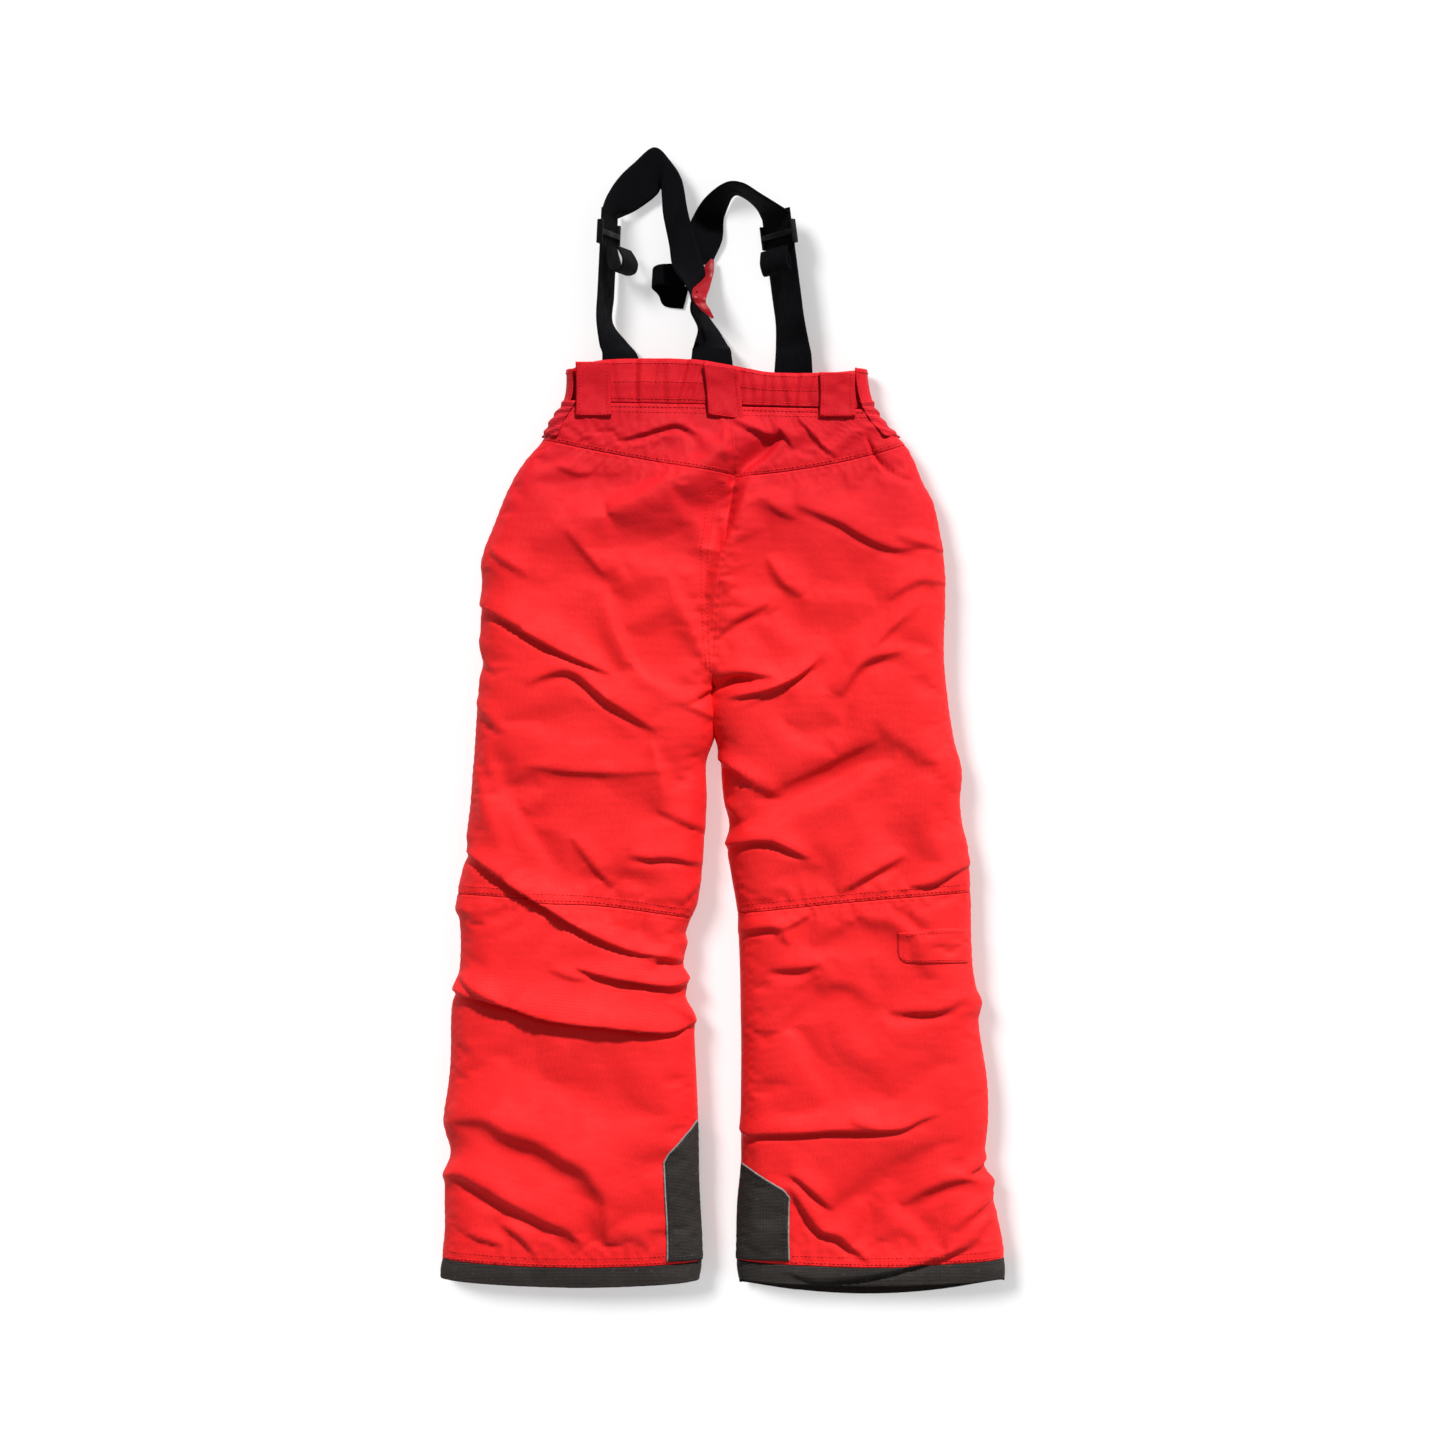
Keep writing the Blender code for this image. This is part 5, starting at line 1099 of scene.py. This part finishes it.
def ribbon(name, sections, look, body, steps=80, thickness=WEBBING, nodes=None):
    """Webbing with rounded selvedges, lofted through sections that each give the points of its two edges."""
    t = np.linspace(0, 1, steps)
    first, second = spline([a for a, _ in sections], t), spline([b for _, b in sections], t)
    along = np.gradient((first + second) / 2, axis=0)
    along /= np.linalg.norm(along, axis=1, keepdims=True)
    across = second - first
    width = np.linalg.norm(across, axis=1)
    across /= width[:, None]
    normal = np.cross(across, along)
    normal /= np.linalg.norm(normal, axis=1, keepdims=True)
    half = thickness / 2
    flat_part = np.linspace(-1, 1, 15)
    u = np.concatenate([flat_part, flat_part[::-1]])
    v = np.concatenate([np.ones(15), -np.ones(15)]) * quarter_round((1.0 - np.abs(u)) / 0.06 + 0.25)
    ribs = 1.0 + 0.10 * np.cos(u * pi * 9)
    u, v = u[None, :, None], (v * ribs)[None, :, None]
    middle = ((first + second) / 2)[:, None]
    points = middle + across[:, None] * u * width[:, None, None] / 2 + normal[:, None] * v * half
    count = points.shape[1]
    faces = grid_faces(steps, count, ring=True)
    faces.append(tuple(reversed(range(count))))
    faces.append(tuple(range((steps - 1) * count, steps * count)))
    lengths = np.concatenate([[0], np.cumsum(np.linalg.norm(np.diff(middle[:, 0], axis=0), axis=1))])
    flat = np.stack(np.broadcast_arrays(u[..., 0] * 0.0195, lengths[:, None]), -1)
    obj = make_object(name, points, faces, LOOKS[look], flat)
    turn_outwards(obj)
    obj.name = f"webbing_{name}" if nodes else name
    finish_piece(obj, look, *([name] if nodes is None else nodes))
    if body:
        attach(obj, body)
    else:
        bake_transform(obj)
    return obj


def turn_outwards(obj):
    bm = bmesh.new()
    bm.from_mesh(obj.data)
    bmesh.ops.recalc_face_normals(bm, faces=bm.faces)
    bm.to_mesh(obj.data)
    bm.free()
    obj.data.shade_smooth()


def rolled_section(centre, direction, roll, lowest=0.0012):
    """Two edge points of flat webbing at centre in plan, turned by roll degrees about its length."""
    across = Vector((direction.y, -direction.x)).normalized()
    half = WEBBING_WIDTH / 2
    side = across * half * cos(radians(roll))
    rise = half * sin(radians(roll))
    height = abs(rise) + lowest
    a = (centre.x - side.x, centre.y - side.y, height + rise)
    b = (centre.x + side.x, centre.y + side.y, height - rise)
    return a, b


STRAP_RUNS = {
    "left": (Vector((-0.1125, 0.5060)), Vector((-0.1175, 0.4020)), -68.0),
    "right": (Vector((0.0545, 0.5060)), Vector((0.0680, 0.4020)), 45.0),
}
RUN_CLEARANCE = 0.0052


def make_front_strap(side):
    upper, lower, roll = STRAP_RUNS[side]
    waist, waist_roll = {"left": (Vector((-0.1020, 0.3672)), -27.0), "right": (Vector((0.0715, 0.3672)), 25.0)}[side]
    direction = (lower - upper).normalized()
    sections = [rolled_section(upper.lerp(lower, k / 4), direction, roll, RUN_CLEARANCE) for k in range(5)]
    bend = lower.lerp(waist, 0.55) + direction * 0.003
    towards = (direction + (waist - lower).normalized()).normalized()
    sections.append(rolled_section(bend, towards, (roll + waist_roll) / 2, 0.0050))
    sections.append(rolled_section(waist, Vector((0, -1)), waist_roll, 0.0118))
    sections[0] = rolled_section(upper - direction * 0.0060, direction, roll, RUN_CLEARANCE)
    for down, share in ((0.020, 0.5), (0.048, 0.0)):
        sections.append(rolled_section(waist - Vector((0, down)), Vector((0, -1)), waist_roll * share, 0.0130))
    nodes = [f"front_strap_{side}", f"front_strap_anchor_{side}"]
    ribbon(f"front_strap_{side}", sections, "webbing", None, 120, nodes=nodes)


for side in SIDES:
    make_front_strap(side)


def strap_run_start(side):
    upper, lower, roll = STRAP_RUNS[side]
    direction = (lower - upper).normalized()
    return rolled_section(upper - direction * 0.0010, direction, roll, RUN_CLEARANCE)


SHOULDER_LEFT = [
    strap_run_start("left")[::-1],
    ((-0.1150, 0.5240, 0.0330), (-0.0890, 0.5130, 0.0080)),
    ((-0.1040, 0.5440, 0.0220), (-0.0750, 0.5220, 0.0080)),
    ((-0.0880, 0.5610, 0.0160), (-0.0650, 0.5300, 0.0100)),
    ((-0.0680, 0.5764, 0.0160), (-0.0610, 0.5350, 0.0150)),
    ((-0.0520, 0.5620, 0.0220), (-0.0600, 0.5240, 0.0230)),
    ((-0.0400, 0.5420, 0.0220), (-0.0590, 0.5080, 0.0260)),
    ((-0.0340, 0.5100, 0.0200), (-0.0530, 0.4780, 0.0280)),
    ((-0.0240, 0.4740, 0.0190), (-0.0490, 0.4540, 0.0310)),
    ((-0.0170, 0.4480, 0.0120), (-0.0380, 0.4380, 0.0380)),
    ((-0.0260, 0.4310, 0.0070), (-0.0320, 0.4265, 0.0420)),
    ((-0.0275, 0.4190, 0.0060), (-0.0300, 0.4180, 0.0420)),
]
SHOULDER_RIGHT = [
    ((-0.0500, 0.4620, 0.0030), (-0.0110, 0.4600, 0.0030)),
    ((-0.0380, 0.4870, 0.0050), (0.0000, 0.4840, 0.0050)),
    ((-0.0300, 0.5060, 0.0100), (0.0015, 0.5030, 0.0030)),
    ((-0.0170, 0.5240, 0.0240), (0.0030, 0.5110, 0.0025)),
    ((0.0030, 0.5370, 0.0370), (0.0110, 0.5290, 0.0025)),
    ((0.0200, 0.5370, 0.0380), (0.0210, 0.5285, 0.0020)),
    ((0.0390, 0.5265, 0.0340), (0.0340, 0.5180, 0.0020)),
    strap_run_start("right"),
]
BACK_STRAP = [
    ((-0.0250, 0.4290, 0.0380), (-0.0170, 0.4290, 0.0030)),
    ((-0.0300, 0.4210, 0.0385), (-0.0165, 0.4210, 0.0030)),
    ((-0.0310, 0.4090, 0.0370), (-0.0140, 0.4090, 0.0030)),
    ((-0.0240, 0.3930, 0.0340), (-0.0030, 0.3930, 0.0040)),
    ((-0.0270, 0.3800, 0.0280), (0.0050, 0.3790, 0.0110)),
    ((-0.0295, 0.3720, 0.0225), (0.0090, 0.3710, 0.0215)),
    ((-0.0315, 0.3520, 0.0230), (0.0110, 0.3500, 0.0230)),
    ((-0.0300, 0.3230, 0.0240), (0.0110, 0.3210, 0.0240)),
]
FOLD_TAB = [
    ((-0.0400, 0.4600, 0.0110), (-0.0370, 0.4360, 0.0110)),
    ((-0.0520, 0.4600, 0.0135), (-0.0520, 0.4380, 0.0135)),
    ((-0.0640, 0.4590, 0.0130), (-0.0650, 0.4390, 0.0130)),
    ((-0.0690, 0.4550, 0.0085), (-0.0700, 0.4360, 0.0085)),
    ((-0.0630, 0.4480, 0.0035), (-0.0640, 0.4300, 0.0035)),
    ((-0.0500, 0.4400, 0.0014), (-0.0580, 0.4190, 0.0014)),
    ((-0.0330, 0.4390, 0.0014), (-0.0390, 0.4160, 0.0014)),
]
ribbon("shoulder_strap_left", SHOULDER_LEFT, "webbing", "suspenders", 150)
ribbon("shoulder_strap_right", SHOULDER_RIGHT, "webbing", "suspenders", 120)
ribbon("strap_fold_tab", FOLD_TAB, "webbing", "suspenders", 90)
ribbon("back_strap", BACK_STRAP, "webbing", None, 110, nodes=["back_strap", "back_strap_anchor"])
DOUBLED_END = [
    ((-0.0296, 0.3735, 0.0254), (0.0080, 0.3725, 0.0228)),
    ((-0.0303, 0.3670, 0.0252), (0.0096, 0.3655, 0.0250)),
    ((-0.0312, 0.3590, 0.0253), (0.0108, 0.3575, 0.0256)),
    ((-0.0318, 0.3510, 0.0254), (0.0113, 0.3490, 0.0256)),
]
ribbon("back_strap_doubling", DOUBLED_END, "webbing", None, 30, nodes=[])


def make_junction():
    """The crumpled satin patch that joins the straps."""
    sections = [
        ((-0.0115, 0.4655, 0.0080), (-0.0080, 0.4650, 0.0080)),
        ((-0.0190, 0.4560, 0.0090), (-0.0080, 0.4550, 0.0110)),
        ((-0.0240, 0.4440, 0.0130), (-0.0100, 0.4440, 0.0160)),
        ((-0.0290, 0.4330, 0.0300), (-0.0125, 0.4330, 0.0260)),
        ((-0.0300, 0.4240, 0.0430), (-0.0155, 0.4230, 0.0400)),
        ((-0.0275, 0.4175, 0.0430), (-0.0160, 0.4170, 0.0410)),
        ((-0.0200, 0.4090, 0.0430), (-0.0120, 0.4105, 0.0410)),
        ((-0.0100, 0.4015, 0.0400), (-0.0080, 0.4025, 0.0390)),
    ]
    t, u = np.linspace(0, 1, 46), np.linspace(0, 1, 18)
    first, second = spline([a for a, _ in sections], t), spline([b for _, b in sections], t)
    points = first[:, None] + (second - first)[:, None] * u[None, :, None]
    crumple = 0.0030 * noise(points[..., 0] * 1.6, points[..., 1], 0.009, 61)
    sideways = 0.0040 * noise(points[..., 0] * 2, points[..., 1], 0.012, 62)
    fullness = np.sin(pi * u)[None, :] * np.sin(pi * t)[:, None]
    points[..., 0] += (sideways - 0.001) * fullness
    points[..., 2] = np.clip(points[..., 2] + (crumple + 0.002) * fullness, 0.0008, 0.050)
    flat = np.stack(np.broadcast_arrays(0.012 * u[None, :], 0.06 * t[:, None]), -1)
    obj = cloth("strap_junction_patch", points, LOOKS["junction_satin"], (-1, 0, 1), 0.0008, flat)
    finish_piece(obj, "junction_satin", "strap_junction_patch")
    declare(obj, points, body="suspenders")


make_junction()


# ---------------------------------------------------------------- adjusters


def adjuster_place(side):
    """Frame of an adjuster: X across the strap, Y up along it and Z out of its face."""
    upper, lower, roll = STRAP_RUNS[side]
    direction = (lower - upper).normalized()
    a, b = (Vector(p) for p in rolled_section(upper + direction * 0.018, direction, roll, RUN_CLEARANCE))
    across = (b - a).normalized()
    along = Vector((-direction.x, -direction.y, 0))
    normal = across.cross(along)
    if normal.z < 0:
        across, normal = -across, -normal
    place = Matrix((across, along, normal)).transposed().to_4x4()
    place.translation = (a + b) / 2
    return place


def rounded_block(bm, size, centre, radius, turn=None):
    """Adds a block with well rounded edges."""
    made = bmesh.ops.create_cube(bm, size=1.0)["verts"]
    bmesh.ops.scale(bm, vec=size, verts=made)
    edges = list({e for v in made for e in v.link_edges})
    made = bmesh.ops.bevel(bm, geom=edges, offset=radius, segments=3, profile=0.5, affect="EDGES")["verts"]
    if turn is not None:
        bmesh.ops.rotate(bm, cent=(0, 0, 0), matrix=turn, verts=made)
    bmesh.ops.translate(bm, vec=centre, verts=made)


def make_adjuster(side):
    """A ladder-lock slider: two rails, end bars under the webbing and a ridged bar over it."""
    width, length, height = 0.0455, 0.0240, 0.0066
    place = adjuster_place(side)
    bm = bmesh.new()
    for end in (-1, 1):
        rail = (end * (width / 2 - 0.0014), 0, 0)
        rounded_block(bm, (0.0028, length, height), rail, 0.0012)
        rounded_block(bm, (width - 0.002, 0.0048, 0.0019), (0, end * (length / 2 - 0.0025), -0.0023), 0.0008)
    rounded_block(bm, (width - 0.002, 0.0056, 0.0020), (0, 0, 0.0023), 0.0009)
    for ridge in (-1, 0, 1):
        rounded_block(bm, (0.030, 0.0007, 0.0007), (0, ridge * 0.0014, 0.0033), 0.0003)
    mesh = bpy.data.meshes.new(f"strap_adjuster_{side}")
    bm.to_mesh(mesh)
    bm.free()
    mesh.transform(place)
    mesh.shade_smooth()
    mesh.set_sharp_from_angle(angle=radians(50))
    obj = bpy.data.objects.new(f"strap_adjuster_{side}", mesh)
    mesh.materials.append(LOOKS["adjuster_plastic"])
    bpy.context.scene.collection.objects.link(obj)
    obj.name = f"ladder_lock_{side}"
    finish_piece(obj, "adjuster_plastic", f"strap_adjuster_{side}")
    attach(obj, f"adjuster_{side}")
    reach = {"left": 0.0230, "right": 0.0110}[side]
    profile = (
        (-0.0130, 0.0045), (-0.0240, 0.0060), (-0.0340, 0.0085), (-0.0385, 0.5 * reach + 0.003),
        (-0.0360, reach), (-0.0260, reach + 0.0015), (-0.0145, 0.65 * reach + 0.002),
    )
    sections = []
    for row in range(13):
        y, z = spline(profile, row / 12)[0]
        half = WEBBING_WIDTH * 0.48 * (0.65 + 0.35 * float(smooth(0, 3, np.array(row))))
        sections.append((tuple(place @ Vector((-half, y, z))), tuple(place @ Vector((half, y, z)))))
    ribbon(f"strap_bight_{side}", sections, "webbing", f"adjuster_{side}", 60)


for side in SIDES:
    make_adjuster(side)


# ---------------------------------------------------------------- fly, pockets and zips


def make_zip(name, place, length, width, tape_z):
    """Two tapes with a row of teeth between them."""
    u, v = np.meshgrid(np.linspace(-0.5, 0.5, 13), np.linspace(-0.5, 0.5, 60))
    z = tape_z - 0.0003 * bump_at(np.abs(u) - 0.12, 0.03)
    local = np.stack([u * width, v * length, z], -1)
    points = transformed(local, place)
    obj = cloth(name, points, LOOKS["zip_tape"], (0, 0, -1), 0.0008, np.stack([u * width, v * length], -1))
    finish_piece(obj, "zip_tape", name)
    declare(obj, points, body="trousers")
    bm = bmesh.new()
    pitch = 0.0026
    for k in range(int(length / pitch) - 2):
        y = -length / 2 + (k + 1) * pitch
        rounded_block(bm, (0.0042, 0.0015, 0.0010), ((k % 2 - 0.5) * 0.0012, y, tape_z - 0.0011), 0.0003)
    mesh = bpy.data.meshes.new(f"{name}_teeth")
    bm.to_mesh(mesh)
    bm.free()
    mesh.transform(place)
    mesh.materials.append(LOOKS["zip_metal"])
    teeth = bpy.data.objects.new(f"{name}_teeth", mesh)
    bpy.context.scene.collection.objects.link(teeth)
    finish_piece(teeth, "zip_metal")
    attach(teeth, "trousers")


def transformed(points, place):
    matrix = np.array(place)
    return points @ matrix[:3, :3].T + matrix[:3, 3]


make_zip("fly_zip_tape", Matrix.Translation((0, 0.2325, 0)), 0.135, 0.026, 0.0066)
for side, (upper, lower) in POCKET_ZIPS.items():
    upper, lower = Vector(upper), Vector(lower)
    along = (lower - upper).normalized()
    turn = Matrix.Rotation(Vector((0, -1)).angle_signed(along) * -1.0, 4, "Z")
    middle = (upper + lower) / 2
    place = Matrix.Translation((middle.x, middle.y, 0)) @ turn
    make_zip(f"hand_pocket_zip_{side}", place, (lower - upper).length, 0.022, 0.0058)


def make_placket():
    """The flap of shell sewn beside the fly, covering the zip."""
    profile = ((0.0225, 0.0058), (0.0195, 0.0030), (0.0150, 0.0013), (0.0000, 0.0010), (-0.0210, 0.0010))
    line = spline(profile, np.linspace(0, 1, 26))
    y = np.linspace(0.302, 0.161, 50)
    x = np.broadcast_to(line[:, 0], (50, 26))
    z = np.broadcast_to(line[:, 1], (50, 26)) + 0.0002 * noise(x, y[:, None] + 0 * x, 0.011, 71)
    points = np.stack([x, y[:, None] + 0 * x, z], -1)
    obj = cloth("fly_placket", points, LOOKS["red_shell"], (0, 0, -1), 0.0009, points[..., :2])
    finish_piece(obj, "red_shell", "fly_placket")
    declare(obj, points, body="trousers")
    rows = [points[2:-2, 4] - (0, 0, 0.0002), points[2:-2, -3] - (0, 0, 0.0002)]
    stitches("fly_placket_stitching", rows, "red_thread", "trousers")


make_placket()

for name in ("fly_zip_slider", "hand_pocket_slider_left", "hand_pocket_slider_right", "waist_snap"):
    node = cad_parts[name]
    node.data.materials.clear()
    node.data.materials.append(LOOKS["zip_metal"])
    rounded = node.modifiers.new("rounded", "BEVEL")
    rounded.width = 0.0003
    rounded.segments = 2

# ---------------------------------------------------------------- floor, light and camera


def add_sun(name, towards, energy, spread, receivers, shadow=True):
    """A distant lamp that shines from the direction towards, on some of the scene's objects."""
    data = bpy.data.lights.new(name, "SUN")
    data.energy = energy
    data.angle = radians(spread)
    data.use_shadow = shadow
    lamp = bpy.data.objects.new(name, data)
    lamp.rotation_euler = Vector(towards).to_track_quat("Z", "Y").to_euler()
    bpy.context.scene.collection.objects.link(lamp)
    lit = bpy.data.collections.new(f"lit_by_{name}")
    for obj in receivers:
        lit.objects.link(obj)
    lamp.light_linking.receiver_collection = lit


def make_room():
    """A pale room whose walls are brighter than its ceiling."""
    world = bpy.data.worlds.new("soft_room")
    world.use_nodes = True
    tree = world.node_tree
    where = put(tree, "ShaderNodeTexCoord").outputs["Generated"]
    height = put(tree, "ShaderNodeSeparateXYZ", {0: where}).outputs[2]
    background = tree.nodes["Background"]
    background.inputs[0].default_value = (1.0, 1.0, 1.0, 1.0)
    tree.links.new(ranged(tree, height, 0.0, 0.45, 0.80, 0.27), background.inputs[1])
    bpy.context.scene.world = world


def make_stage():
    corners = [(-30.0, -30.0), (30.0, -30.0), (30.0, 30.0), (-30.0, 30.0)]
    floor = make_object("floor", np.array([(x, y, -0.0004) for x, y in corners]), [(0, 1, 2, 3)], new_floor_look())
    floor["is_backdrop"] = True
    make_room()
    add_sun("key", (0.30, 0.88, 0.64), 4.95, 5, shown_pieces())
    add_sun("floor_key", (-0.72, 0.60, 1.0), 1.8, 18, [floor])
    add_sun("floor_fill", (0.0, 0.0, 1.0), 1.3, 16, [floor], shadow=False)
    camera = bpy.data.cameras.new("camera")
    camera.sensor_width = 36.0
    distance, seen = 3.2, 1.445
    camera.lens = camera.sensor_width * distance / seen
    eye = bpy.data.objects.new("camera", camera)
    eye.location = (0.0005, -0.0005, 0.025 + distance)
    bpy.context.scene.collection.objects.link(eye)
    bpy.context.scene.camera = eye
    bpy.context.scene.view_settings.view_transform = "Standard"


def new_floor_look():
    made, tree, shader = new_look("pale_floor")
    where = put(tree, "ShaderNodeTexCoord").outputs["Object"]
    spots = put(tree, "ShaderNodeTexNoise", {"Vector": where, "Scale": 3.0, "Detail": 2.0}).outputs["Fac"]
    tree.links.new(
        mixed(tree, ranged(tree, spots, 0.3, 0.7), (0.93, 0.93, 0.93), (0.95, 0.95, 0.95)),
        shader.inputs["Base Color"],
    )
    shader.inputs["Roughness"].default_value = 0.9
    shader.inputs["Specular IOR Level"].default_value = 0.0
    return made


make_stage()
